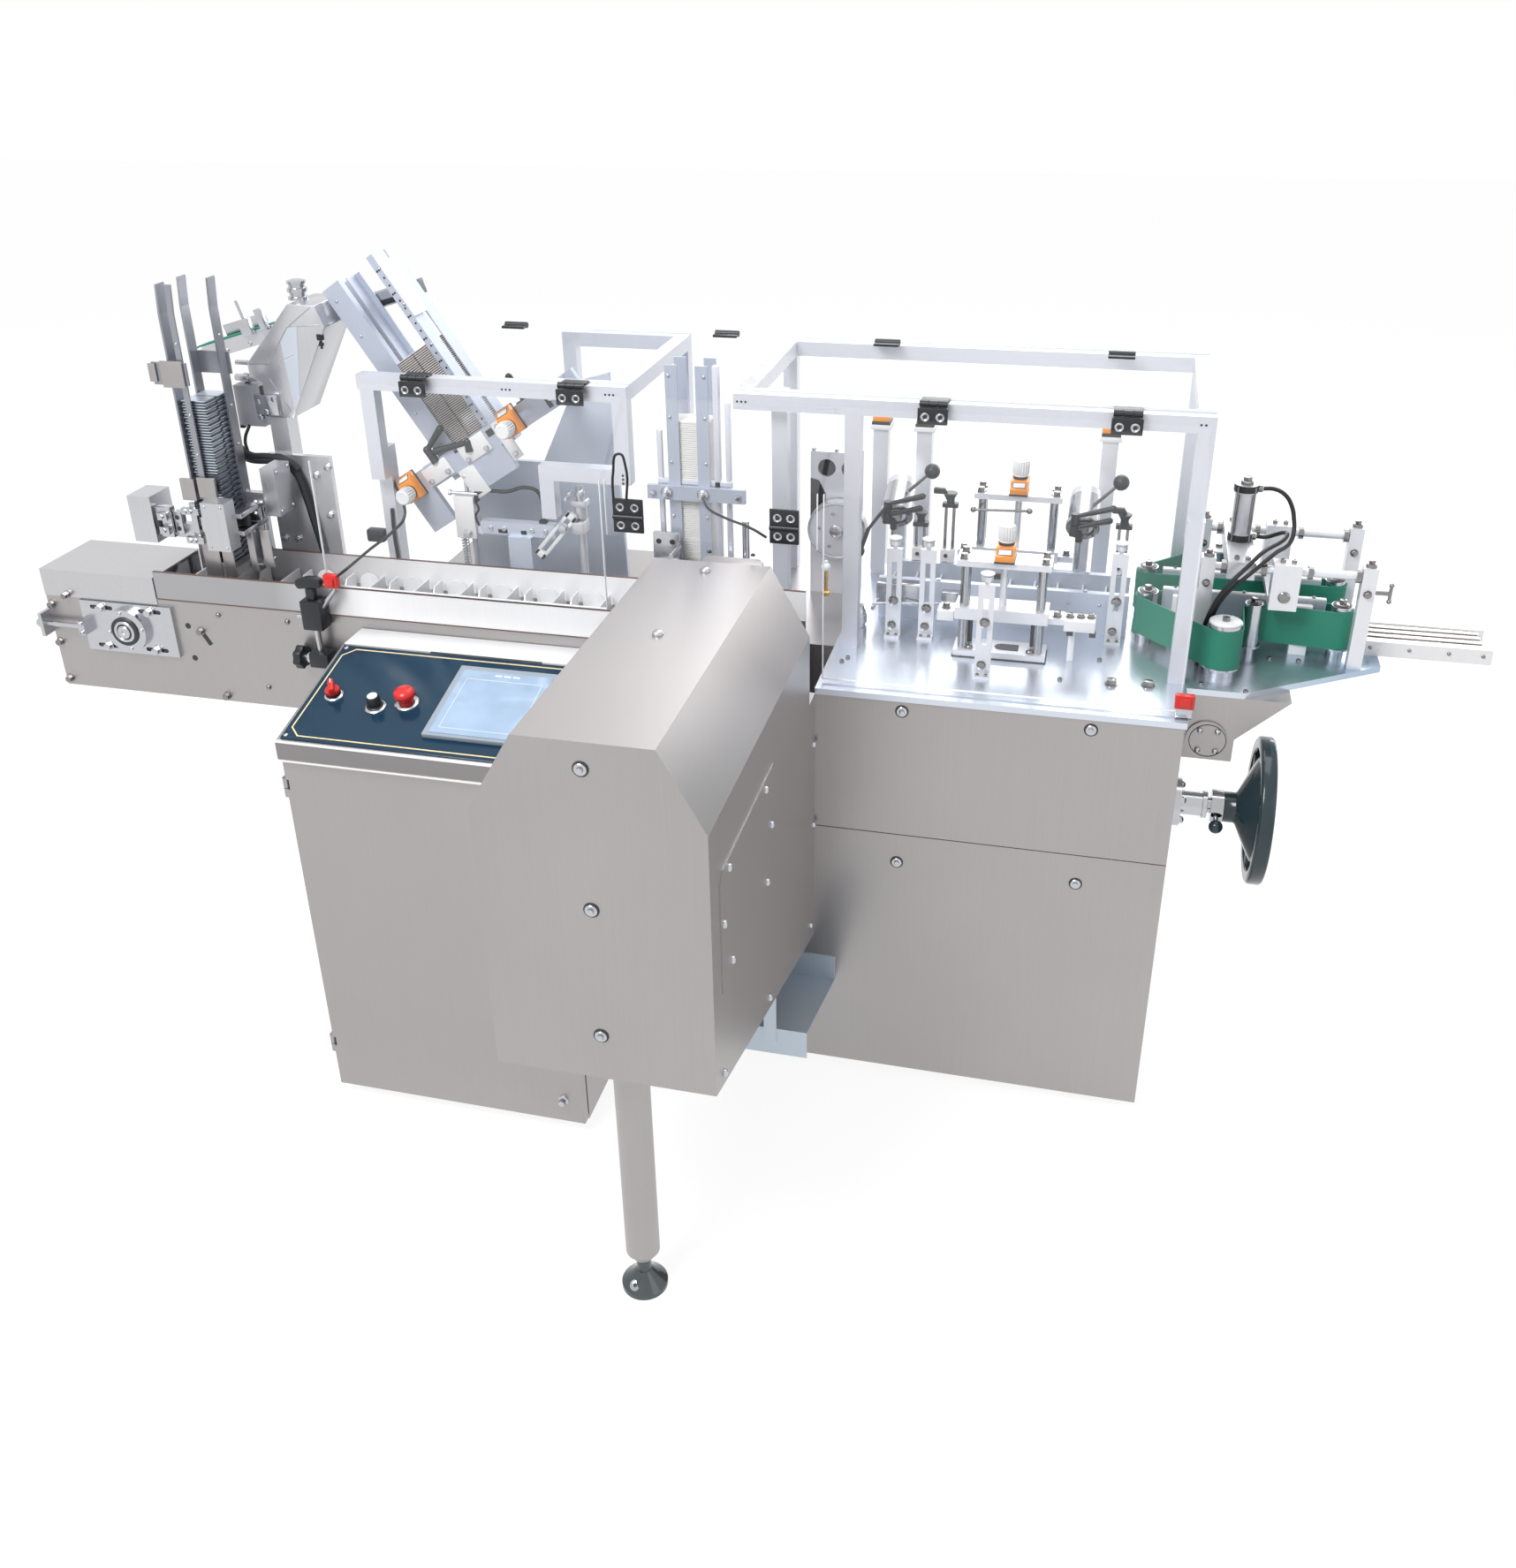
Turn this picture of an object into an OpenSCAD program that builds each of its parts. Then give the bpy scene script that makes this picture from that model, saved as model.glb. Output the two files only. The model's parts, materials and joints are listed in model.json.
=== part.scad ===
// Automatic cartoner: bucket infeed, carton magazine, loader, tucking deck and side-belt discharge.
// X runs along the line to the discharge, Y away from the operator, Z up from the floor.

/* [Base cabinet] */
// Width of the main cabinet
cab_w = 666; // [560:1:800]
// Depth of the main cabinet and of the base behind the desk
cab_d = 640; // [600:1:760]
// Height of the deck's top face above the floor
deck_z = 898; // [840:1:960]
// Thickness of the deck plate
deck_t = 12; // [8:1:16]
// Height of the recessed plinths under the cabinets
plinth_h = 24; // [15:1:60]
// How far a plinth stands back from the cabinet's walls
plinth_inset = 30; // [10:1:60]
// Thickness of the front panels
panel_t = 3; // [2:0.5:5]
// Height of the joint between the two front panels
panel_split = 596; // [450:1:700]
// Length of the base to the left of the main cabinet
left_l = 960; // [900:1:1000]

/* [Deck extension] */
// Length of the deck beyond the cabinet's right side
ext_l = 360; // [330:1:420]
// How far the extension's front edge stands back
ext_step = 140; // [100:1:150]
// Length of the straight part of the extension's front edge
ext_straight = 107; // [90:1:120]
// Depth at the slanted edge's far end
ext_tip = 310; // [290:1:320]
// Height of the drive box under the extension
drive_h = 132; // [100:1:160]
// Width of the drive box
drive_w = 100; // [80:1:106]
// Depth of the drive box
drive_d = 180; // [120:1:220]
// Diameter of the drive box's round cover
cover_d = 74; // [50:1:90]

/* [Handwheel] */
// Diameter of the handwheel
wheel_d = 280; // [220:1:300]
// Height of the handwheel's axis
wheel_z = 665; // [600:1:700]
// Depth of the handwheel's axis behind the front
wheel_y = 125; // [90:1:200]
// Diameter of the handwheel's shaft
shaft_d = 30; // [20:1:36]
// Length of the bearing sleeve on the cabinet's side
sleeve_l = 66; // [50:1:90]
// Depth of the dish from hub to rim
dish = 44; // [25:1:60]

/* [Loader housing] */
// Width of the housing
load_w = 361; // [320:1:380]
// Reach of the housing in front of the cabinets
load_reach = 737; // [650:1:800]
// Height of the housing's flat top
load_z = 1153; // [1120:1:1170]
// Height of the chamfered edges' lower line
load_shoulder = 1023; // [980:1:1060]
// Height of the housing's bottom edge at the front
load_front_z = 553; // [480:1:620]
// Height of the housing's bottom edge at the back
load_back_z = 335; // [280:1:400]
// Width of the left chamfer
chamfer_left = 76; // [50:1:90]
// Width of the right chamfer
chamfer_right = 71; // [50:1:90]
// Diameter of the support leg
leg_d = 60; // [45:1:76]
// Diameter of the levelling foot's pad
pad_d = 82; // [70:1:100]
// Height of the levelling foot
foot_h = 85; // [60:1:110]

/* [Control cabinet] */
// Width of the control cabinet
ctrl_w = 541; // [500:1:545]
// Depth of the control cabinet in front of the base
ctrl_d = 317; // [280:1:350]
// Height of the control cabinet's walls
ctrl_z = 808; // [780:1:820]
// Thickness of its sheet walls
ctrl_t = 4; // [3:0.5:6]
// Thickness of the door with its folded rim
door_t = 18; // [14:1:24]
// Slope of the operating panel
panel_slope = 14; // [8:1:18]
// Height of the desk's front lip
desk_lip = 40; // [30:1:50]
// Diameter of the stop button's head
stop_d = 40; // [32:1:46]
// Width of the touch screen's frame
screen_w = 200; // [160:1:220]
// Height of the touch screen's frame along the slope
screen_h = 198; // [150:1:210]

/* [Infeed conveyor] */
// Length of the conveyor left of the main cabinet
infeed_l = 1680; // [1600:1:1750]
// Depth of its front wall's face
infeed_y = 30; // [25:1:40]
// Width between the outer faces of the walls
infeed_w = 170; // [150:1:174]
// Height of the side plates' bottom edge
infeed_bottom = 717; // [705:1:740]
// Height of the seam between side plate and trough wall
seam_z = 942; // [930:1:950]
// Height of the trough walls' top edge
trough_z = 1003; // [990:1:1015]
// Thickness of the side plates
side_t = 5; // [3:0.5:8]
// Length of the left end cover
end_cover_l = 272; // [230:1:290]
// Pitch of the bucket flights
flight_pitch = 100; // [80:1:140]
// Height of a bucket flight
flight_h = 42; // [30:1:48]
// Radius of the bucket chain's turn
chain_r = 56; // [50:1:60]

/* [Product magazine] */
// Height of the product magazine's rail tops
prod_top = 1582; // [1500:1:1610]
// Width between the rails along the line
prod_w = 64; // [55:1:130]
// Width of a magazine rail
rail_w = 26; // [20:1:30]
// Thickness of a magazine rail
rail_t = 4; // [3:0.5:6]
// Length of the flared rail ends
flare_l = 56; // [40:1:120]
// Lean of the flared rail ends
flare_a = 5; // [3:1:15]

/* [Carton magazine] */
// Angle of the carton magazine above the horizontal
mag_a = 57; // [50:1:62]
// Length of the carton magazine's rails
mag_l = 444; // [380:1:460]
// Carton width between the rails
carton_w = 105; // [90:1:115]
// Carton depth between the rails
carton_d = 86; // [70:1:95]
// Length of the carton stack
stack_l = 250; // [150:1:300]
// Length of the magazine's cross bar
bar_l = 420; // [380:1:430]

/* [Deck units] */
// Height of the carton conveyor's rails above the deck
conv_h = 86; // [70:1:100]
// Width of the carton path
path_w = 85; // [70:1:95]
// Width of a tucking press
press_w = 176; // [150:1:190]
// Diameter of the press posts
press_post_d = 16; // [12:1:20]
// Width of a slotted post
slot_post_w = 30; // [24:1:36]
// Height of a slotted post
slot_post_h = 186; // [150:1:210]
// Side of a square column
column_s = 32; // [25:1:40]
// Height of a square column above the deck
column_h = 336; // [280:1:360]
// Diameter of the tape wheel
tape_d = 124; // [100:1:140]

/* [Discharge] */
// Height of the side belts
belt_h = 76; // [60:1:85]
// Thickness of the side belts
belt_t = 3; // [2:0.5:4]
// Diameter of the belts' end rollers
roller_d = 40; // [30:1:46]
// Diameter of the driven drums
drum_d = 62; // [50:1:70]
// Diameter of the hold-down shafts
guide_d = 16; // [12:1:20]
// Length of the discharge chute
chute_l = 200; // [150:1:260]

/* [Guards] */
// Side of the aluminium guard profile
prof = 30; // [25:1:36]
// Height of the guard rails' top face
rail_z = 1395; // [1370:1:1420]
// Depth of the front rail's front face
rail_y = 185; // [175:1:190]
// Height of the bend in the guard doors
bend_z = 1268; // [1245:1:1290]
// Thickness of the clear panels
clear_t = 5; // [4:0.5:8]
// Diameter of the hinge pins
pin_d = 6; // [5:0.5:8]

/* [Hidden] */
$fn = 48;
eps = 0.01;
run_gap = 0.05;
seat = 0.3;
swing_gap = 6;

// Heights and edges that several pieces share
deck_under = deck_z - deck_t;
ctrl_x0 = -942;
ctrl_x1 = ctrl_x0 + ctrl_w;
infeed_back = infeed_y + infeed_w;
left_low = infeed_bottom;
base_step = infeed_back + 12;
path_y0 = 365;
path_y1 = path_y0 + path_w;

// Block between two opposite corners
module block(a, b) {
    translate(a)
        cube(b - a);
}

// Outline in the YZ plane, drawn out along X
module along_x(x0, x1) {
    translate([x0, 0, 0])
        rotate([90, 0, 90])
            linear_extrude(x1 - x0)
                children();
}

// Outline in the XZ plane, drawn out along Y
module along_y(y0, y1) {
    translate([0, y1, 0])
        rotate([90, 0, 0])
            linear_extrude(y1 - y0)
                children();
}

// Round bar along X
module bar_x(x0, x1, d) {
    translate([x0, 0, 0])
        rotate([0, 90, 0])
            cylinder(d = d, h = x1 - x0);
}

// Round bar along Y
module bar_y(y0, y1, d) {
    translate([0, y0, 0])
        rotate([-90, 0, 0])
            cylinder(d = d, h = y1 - y0);
}

// Slot with round ends along X, cut through along Y
module slot_y(y0, y1, l, w) {
    for (x = [-l / 2 + w / 2, l / 2 - w / 2])
        translate([x, 0, 0])
            bar_y(y0, y1, w);
    block([-l / 2 + w / 2, y0, -w / 2], [l / 2 - w / 2, y1, w / 2]);
}

// Recessed plinths that carry the cabinets on the floor
module plinth() {
    color("dimgray") {
        block([plinth_inset, plinth_inset, 0], [cab_w - plinth_inset, cab_d - plinth_inset, plinth_h]);
        block([-left_l + plinth_inset, plinth_inset, 0], [-plinth_inset, cab_d - plinth_inset, plinth_h]);
        block([ctrl_x0 + plinth_inset, -ctrl_d + plinth_inset + door_t, 0],
              [ctrl_x1 - plinth_inset, -plinth_inset, plinth_h]);
    }
}

module main_cabinet() {
    color("lightgray")
        block([0, panel_t, plinth_h], [cab_w, cab_d, deck_under]);
}

deck_lap = 4;
module deck_plate() {
    color("gainsboro")
        translate([0, 0, deck_under])
            linear_extrude(deck_t)
                polygon([[0, -deck_lap], [cab_w + deck_lap, -deck_lap], [cab_w + deck_lap, ext_step],
                    [cab_w + ext_straight, ext_step], [cab_w + ext_l, ext_tip], [cab_w + ext_l, cab_d],
                    [0, cab_d]]);
}

// Stepped base behind the desk: low under the bucket chain, deck height behind it
module left_base() {
    color("lightgray")
        along_x(-left_l, 0)
            polygon([[0, plinth_h], [cab_d, plinth_h], [cab_d, deck_under], [base_step, deck_under],
                [base_step, left_low], [0, left_low]]);
}

gusset_l = 90;
gusset_low = 0.35;
drive_bottom = deck_under - drive_h;
cover_t = 4;
cover_drop = 88;
module drive_box() {
    color("silver") {
        along_y(ext_step, ext_step + drive_d)
            polygon([[cab_w, drive_bottom], [cab_w + drive_w, drive_bottom],
                [cab_w + drive_w, drive_bottom + gusset_low * drive_h],
                [cab_w + drive_w + gusset_l, deck_under], [cab_w, deck_under]]);
        translate([cab_w + drive_w / 2, ext_step - cover_t, deck_under - cover_drop])
            bar_y(0, cover_t, cover_d);
    }
}

flange_d = 92;
flange_t = 18;
sleeve_d = 46;
module bearing_housing() {
    color("silver")
        translate([cab_w, wheel_y, wheel_z])
            difference() {
                union() {
                    bar_x(0, flange_t, flange_d);
                    bar_x(flange_t - eps, sleeve_l, sleeve_d);
                }
                bar_x(-eps, sleeve_l + 1, shaft_d + 2 * run_gap);
            }
}

hub_gap = 8;
hub_d = 58;
hub_l = 44;
rim_t = 30;
rim_w = 24;
web_t = 7;
hub_x = cab_w + sleeve_l + hub_gap;
module handwheel_shaft() {
    color("silver")
        translate([0, wheel_y, wheel_z]) {
            bar_x(cab_w + swing_gap, hub_x + hub_l, shaft_d);
            difference() {
                bar_x(hub_x, hub_x + hub_l / 2, hub_d + 4);
                bar_x(hub_x - 1, hub_x + hub_l / 2 + 1, shaft_d);
            }
        }
}

// Dished wheel: a revolved section of hub, cone and rim
spokes = 5;
gap_half = 24;
gap_in = 46;
gap_out = 104;
module spoke_gap() {
    linear_extrude(hub_l + dish + rim_t)
        intersection() {
            difference() {
                circle(r = gap_out);
                circle(r = gap_in);
            }
            polygon([[0, 0], [wheel_d * cos(gap_half), -wheel_d * sin(gap_half)],
                [wheel_d * cos(gap_half), wheel_d * sin(gap_half)]]);
        }
}

module handwheel() {
    wheel_x = hub_x + hub_l / 2;
    color("darkslategray")
        translate([wheel_x, wheel_y, wheel_z])
            rotate([0, 90, 0])
                difference() {
                    rotate_extrude($fn = 96)
                        polygon([[shaft_d / 2 + run_gap, 0], [hub_d / 2, 0], [hub_d / 2, hub_l / 2],
                            [wheel_d / 2 - rim_w, hub_l / 2 + dish - web_t],
                            [wheel_d / 2 - rim_w, hub_l / 2 + dish - rim_t / 2],
                            [wheel_d / 2, hub_l / 2 + dish - rim_t / 2],
                            [wheel_d / 2, hub_l / 2 + dish + rim_t / 2],
                            [wheel_d / 2 - rim_w, hub_l / 2 + dish + rim_t / 2],
                            [wheel_d / 2 - rim_w, hub_l / 2 + dish],
                            [hub_d / 2, hub_l / 2 + web_t], [shaft_d / 2 + run_gap, hub_l / 2 + web_t]]);
                    for (i = [0 : spokes - 1])
                        rotate([0, 0, 360 * (i + 0.5) / spokes])
                            spoke_gap();
                }
}

// Long housing of the product pushers: chamfered section, slanted underside
load_back = -50;
shelf_z = deck_under;
module loader_section() {
    polygon([[-load_w, 0], [0, 0], [0, load_shoulder], [-chamfer_right, load_z],
        [-load_w + chamfer_left, load_z], [-load_w, load_shoulder]]);
}

module loader_side() {
    polygon([[-load_reach, load_front_z], [0, load_back_z], [0, shelf_z], [load_back, shelf_z],
        [load_back, load_z + 1], [-load_reach, load_z + 1]]);
}

module loader_housing() {
    color("lightgray")
        intersection() {
            along_y(-load_reach, 0)
                loader_section();
            along_x(-load_w, 0)
                loader_side();
        }
}

// Sheet panels: two on the cabinet's front, one with a cut corner on the housing's right side
panel_joint = 2;
access_t = 2;
access_y0 = -690;
access_y1 = -345;
access_z0 = 715;
access_z1 = 926;
access_cut = 18;
module cover_panels() {
    color("silver") {
        block([0, 0, panel_split + panel_joint], [cab_w, panel_t, deck_under]);
        block([0, 0, plinth_h], [cab_w, panel_t, panel_split]);
        along_x(0, access_t)
            polygon([[access_y0, access_z0], [access_y1, access_z0], [access_y1, access_z1],
                [access_y0 + access_cut, access_z1], [access_y0, access_z1 - access_cut]]);
    }
}

leg_x = -174;
leg_y = -640;
module support_leg() {
    color("silver")
        difference() {
            translate([leg_x, leg_y, foot_h])
                cylinder(d = leg_d, h = load_front_z - foot_h);
            along_x(-load_w - 1, 1)
                loader_side();
        }
}

pad_h = 22;
stem_d = 26;
module levelling_foot() {
    color("dimgray")
        translate([leg_x, leg_y, 0]) {
            rotate_extrude()
                polygon([[0, 0], [pad_d / 2, 0], [pad_d / 2, 8], [stem_d, pad_h], [stem_d / 2, pad_h + 14],
                    [stem_d / 2, foot_h], [0, foot_h]]);
        }
}

// Tray under the housing: its floor follows the housing's underside, hung by a strap at the front
tray_x0 = -150;
tray_x1 = 44;
tray_l = 278;
tray_z = 230;
tray_t = 3;
tray_lip = 60;
tray_back = 58;
tray_rise = tray_l * (load_front_z - load_back_z) / load_reach;
strap_x = -38;
strap_w = 24;
strap_h = 30;
module reject_tray() {
    color("white") {
        along_x(tray_x0, tray_x1)
            polygon([[0, tray_z - tray_t], [0, tray_z + tray_back], [-tray_t, tray_z + tray_back],
                [-tray_t, tray_z], [-tray_l, tray_z + tray_rise], [-tray_l, tray_z + tray_rise - tray_lip],
                [tray_t - tray_l, tray_z + tray_rise - tray_lip],
                [tray_t - tray_l, tray_z + tray_rise - tray_t]]);
        difference() {
            block([strap_x, -tray_l - tray_t, tray_z + tray_rise - strap_h],
                  [strap_x + strap_w, -tray_l, load_front_z]);
            along_x(-load_w - 1, 1)
                loader_side();
        }
    }
}

door_gap = 5;
ctrl_front = -ctrl_d + door_t + door_gap;
module control_cabinet() {
    color("lightgray")
        difference() {
            block([ctrl_x0, ctrl_front, plinth_h], [ctrl_x1, 0, ctrl_z]);
            block([ctrl_x0 + ctrl_t, ctrl_front - 1, plinth_h + ctrl_t],
                  [ctrl_x1 - ctrl_t, -ctrl_t, ctrl_z - ctrl_t]);
        }
    color("gray")
        for (z = ctrl_hinges)
            hinge_fixed_ctrl(z);
}

ctrl_hinges = [130, 740];
knuckle_d = 12;
knuckle_l = 20;
ctrl_axis_x = ctrl_x0 - knuckle_d / 2;
ctrl_axis_y = -ctrl_d + door_t / 2;
module hinge_fixed_ctrl(z) {
    translate([ctrl_axis_x, ctrl_axis_y, z]) {
        cylinder(d = knuckle_d, h = knuckle_l);
        translate([0, 0, -knuckle_l])
            cylinder(d = pin_d, h = knuckle_l + eps);
    }
    block([ctrl_axis_x - knuckle_d / 2, ctrl_axis_y, z], [ctrl_x0, ctrl_front + 20, z + knuckle_l]);
}

door_low = plinth_h + swing_gap;
door_high = ctrl_z - swing_gap;
module control_door() {
    color("silver")
        difference() {
            union() {
                difference() {
                    block([ctrl_x0, -ctrl_d, door_low], [ctrl_x1, -ctrl_d + door_t, door_high]);
                    block([ctrl_x0 + 20, -ctrl_d + 3, door_low + 20],
                          [ctrl_x1 - 20, -ctrl_d + door_t + 1, door_high - 20]);
                }
                for (z = ctrl_hinges)
                    translate([ctrl_axis_x, ctrl_axis_y, z - knuckle_l]) {
                        cylinder(d = knuckle_d, h = knuckle_l - 1);
                        block([0, -knuckle_d / 2, 0], [knuckle_d / 2 + 2, knuckle_d / 2, knuckle_l - 1]);
                    }
            }
            for (z = ctrl_hinges) {
                translate([ctrl_axis_x, ctrl_axis_y, z - knuckle_l - 1])
                    cylinder(d = pin_d + 2 * run_gap, h = knuckle_l + 2);
                block([ctrl_axis_x - knuckle_d, ctrl_axis_y - knuckle_d, z - 1],
                      [ctrl_x0 + swing_gap, ctrl_axis_y + knuckle_d * 2, z + knuckle_l + 1]);
            }
        }
}

desk_over = 12;
desk_front = -ctrl_d - desk_over;
desk_lip_z = ctrl_z + desk_lip;
slope_l = 290;
slope_y1 = desk_front + slope_l * cos(panel_slope);
slope_z1 = desk_lip_z + slope_l * sin(panel_slope);
module control_desk() {
    color("silver")
        along_x(ctrl_x0, ctrl_x1)
            polygon([[desk_front, ctrl_z], [desk_front, desk_lip_z], [slope_y1, slope_z1],
                [infeed_y, slope_z1], [infeed_y, slope_z1 - 20], [0, slope_z1 - 20], [0, ctrl_z]]);
}

// Frame on the sloped panel: X along the line, Y up the slope, Z out of the panel
module on_slope(x, s, h) {
    translate([ctrl_x0 + x, desk_front, desk_lip_z])
        rotate([panel_slope, 0, 0])
            translate([0, s, h])
                children();
}

plate_in = 8;
plate_t = 4;
module control_panel() {
    color("steelblue")
        on_slope(plate_in, plate_in, 0)
            cube([ctrl_w - 2 * plate_in, slope_l - 2 * plate_in, plate_t]);
}

screen_x = 274;
screen_s = 48;
screen_t = 10;
module touch_screen() {
    color("lightsteelblue")
        on_slope(screen_x, screen_s, plate_t)
            cube([screen_w, screen_h, screen_t]);
}

knob_s = 134;
speed_s = 114;
switch_x = 57;
speed_x = 152;
stop_x = 207;
module panel_knobs() {
    color("firebrick")
        on_slope(switch_x, knob_s, plate_t) {
            cylinder(d = 30, h = 12);
            translate([-6, -17, 12])
                cube([12, 34, 18]);
        }
    color("black")
        on_slope(speed_x, speed_s, plate_t) {
            cylinder(d = 34, h = 6);
            translate([0, 0, 6])
                cylinder(d = 26, h = 22);
        }
}

module stop_button() {
    color("red")
        on_slope(stop_x, knob_s, plate_t)
            rotate_extrude()
                polygon([[0, 0], [15, 0], [15, 16], [stop_d / 2, 20], [stop_d / 2, 28],
                    [stop_d / 2 - 6, 34], [0, 36]]);
}

infeed_x0 = -infeed_l;
infeed_x1 = -60;
side_back = infeed_back - side_t;
chain_z = seam_z - 72;
chain_x0 = infeed_x0 + 195;
chain_x1 = infeed_x1 - 110;
chain_shaft_d = 28;
module infeed_side_plates() {
    color("silver")
        for (y = [infeed_y, side_back])
            difference() {
                block([infeed_x0, y, infeed_bottom], [infeed_x1, y + side_t, seam_z]);
                for (x = [chain_x0, chain_x1])
                    translate([x, 0, chain_z])
                        bar_y(y - 1, y + side_t + 1, chain_shaft_d + 2 * run_gap);
            }
}

// Folded upper walls stand on the side plates and lap a little over their outer faces
wall_t = 6;
wall_lap = 2;
wall_y = infeed_y - wall_lap;
wall_back = infeed_back + wall_lap;
cover_top_t = 3;
module trough_walls() {
    color("white")
        for (y = [wall_y, wall_back - wall_t])
            block([infeed_x0 + end_cover_l + 4, y, seam_z], [infeed_x1, y + wall_t, trough_z]);
}

// End cover: lower than the walls, with lips that hang over the side plates' outer faces
cover_low = 14;
cover_lap = 13;
module infeed_end_cover() {
    color("white") {
        difference() {
            block([infeed_x0, wall_y, seam_z], [infeed_x0 + end_cover_l, wall_back, trough_z - cover_low]);
            block([infeed_x0 + wall_t, wall_y + wall_t, seam_z - 1],
                  [infeed_x0 + end_cover_l + 1, wall_back - wall_t, trough_z - cover_low - cover_top_t]);
        }
        for (y = [wall_y, infeed_back])
            block([infeed_x0, y, seam_z - cover_lap], [infeed_x0 + end_cover_l, y + wall_lap, seam_z]);
    }
}

take_w = 219;
take_h = 114;
take_t = 8;
take_slot = [58, 44];
take_slot_l = 54;
take_slot_w = 9;
bearing_d = 96;
bearing_t = 14;
screw_d = 10;
module take_up_unit() {
    color("silver") {
        difference() {
            block([chain_x0 - take_w / 2, infeed_y - take_t, chain_z - take_h / 2],
                  [chain_x0 + take_w / 2, infeed_y, chain_z + take_h / 2]);
            translate([chain_x0, 0, chain_z]) {
                bar_y(infeed_y - take_t - 1, infeed_y + 1, chain_shaft_d + 2 * run_gap);
                for (x = [-take_slot[0], take_slot[0]], z = [-take_slot[1], take_slot[1]])
                    translate([x, 0, z])
                        slot_y(infeed_y - take_t - 1, infeed_y + 1, take_slot_l, take_slot_w);
            }
        }
        translate([chain_x0, infeed_y - take_t, chain_z])
            difference() {
                bar_y(-bearing_t, 0, bearing_d);
                bar_y(-bearing_t - 1, 1, chain_shaft_d + 2 * run_gap);
            }
        block([infeed_x0 - 8, infeed_y - 30, chain_z - 26], [infeed_x0, infeed_y + 10, chain_z + 26]);
        translate([0, infeed_y - 18, chain_z])
            bar_x(infeed_x0 - 22, chain_x0 - take_w / 2, screw_d);
        block([chain_x0 - take_w / 2, infeed_y - take_t - 20, chain_z - 16],
              [chain_x0 - take_w / 2 + 14, infeed_y - take_t, chain_z + 16]);
    }
}

// Bucket chain: one loop round two shafts, with paired flights on the upper and lower runs
chain_t = 12;
chain_y0 = infeed_y + side_t + 4;
chain_y1 = side_back - 4;
flight_t = 3;
flights = floor((chain_x1 - chain_x0) / flight_pitch);
module chain_loop(r) {
    translate([chain_x0, chain_z])
        circle(r = r);
    translate([chain_x1, chain_z])
        circle(r = r);
    translate([chain_x0, chain_z - r])
        square([chain_x1 - chain_x0, 2 * r]);
}

flight_in = 2;
flight_pair = 30;
module bucket(x) {
    half = (chain_y1 - chain_y0) / 2;
    translate([x, 0, chain_z + chain_r]) {
        block([0, chain_y0 + flight_in, 0], [flight_t, chain_y1 - flight_in, flight_h]);
        difference() {
            block([flight_pair, chain_y0 + flight_in, 0],
                  [flight_pair + flight_t, chain_y1 - flight_in, flight_h]);
            translate([flight_pair, chain_y0 + half, flight_h + half * 0.2])
                bar_x(-1, flight_t + 1, half * 1.1);
        }
    }
}

module bucket_chain() {
    color("gainsboro") {
        along_y(chain_y0, chain_y1)
            difference() {
                chain_loop(chain_r);
                chain_loop(chain_r - chain_t);
            }
        for (x = [chain_x0, chain_x1])
            translate([x, 0, chain_z]) {
                bar_y(infeed_y - take_t - 16, infeed_back + 10, chain_shaft_d);
                bar_y(chain_y0 + 12, chain_y1 - 12, 2 * (chain_r - chain_t) - 2 * run_gap);
            }
    }
}

module bucket_flights() {
    color("white")
        for (i = [0 : flights - 1])
            bucket(chain_x0 + (i + 0.2) * flight_pitch);
}

// Product magazine: four flat rails with flared tops over the trough
prod_x = -1264;
prod_y0 = infeed_y + 36;
prod_y1 = infeed_back - 36;
prod_low = trough_z + 6;
prod_straight = prod_top - flare_l;
flare_dx = flare_l * sin(flare_a);
module prod_rail(x, y, wide, deep) {
    half = wide / 2;
    along_y(y, y + deep)
        polygon([[x - half, prod_low], [x + half, prod_low], [x + half, prod_straight],
            [x + half + flare_dx, prod_top], [x - half + flare_dx, prod_top], [x - half, prod_straight]]);
}

band_z = 1390;
band_h = 44;
band_t = 4;
shelf_t = 12;
stand_t = 10;
stand_y = wall_back;
stand_x0 = prod_x - prod_w / 2;
stand_x1 = prod_x + prod_w / 2;
front_rail_x = stand_x0 + 26;
front_rail_w = 12;
module product_magazine() {
    color("silver") {
        prod_rail(stand_x0, prod_y0, rail_t, rail_w);
        prod_rail(front_rail_x, prod_y0, front_rail_w, rail_t);
        for (x = [stand_x0, stand_x1])
            prod_rail(x, prod_y1 - rail_w, rail_t, rail_w);
        block([stand_x0 - 36, prod_y0 - band_t, band_z], [front_rail_x + 14, prod_y0, band_z + band_h]);
        block([stand_x0 - 6, prod_y1, band_z], [stand_x1 + 6, prod_y1 + band_t, band_z + band_h]);
        block([stand_x0 - 6, prod_y1, prod_low], [stand_x1 + 6, stand_y + stand_t, prod_low + 120]);
        block([stand_x0 - 6, stand_y, infeed_bottom + 80], [stand_x1 + 6, stand_y + stand_t, prod_low + eps]);
        block([stand_x0, prod_y0, prod_low], [stand_x1, prod_y1 + eps, prod_low + shelf_t]);
    }
}

module product_stack() {
    color("lightslategray")
        block([stand_x0 + rail_t, prod_y0 + 8, prod_low + shelf_t],
              [stand_x1 - rail_t, prod_y1 - 8, band_z - 30]);
}

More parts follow.
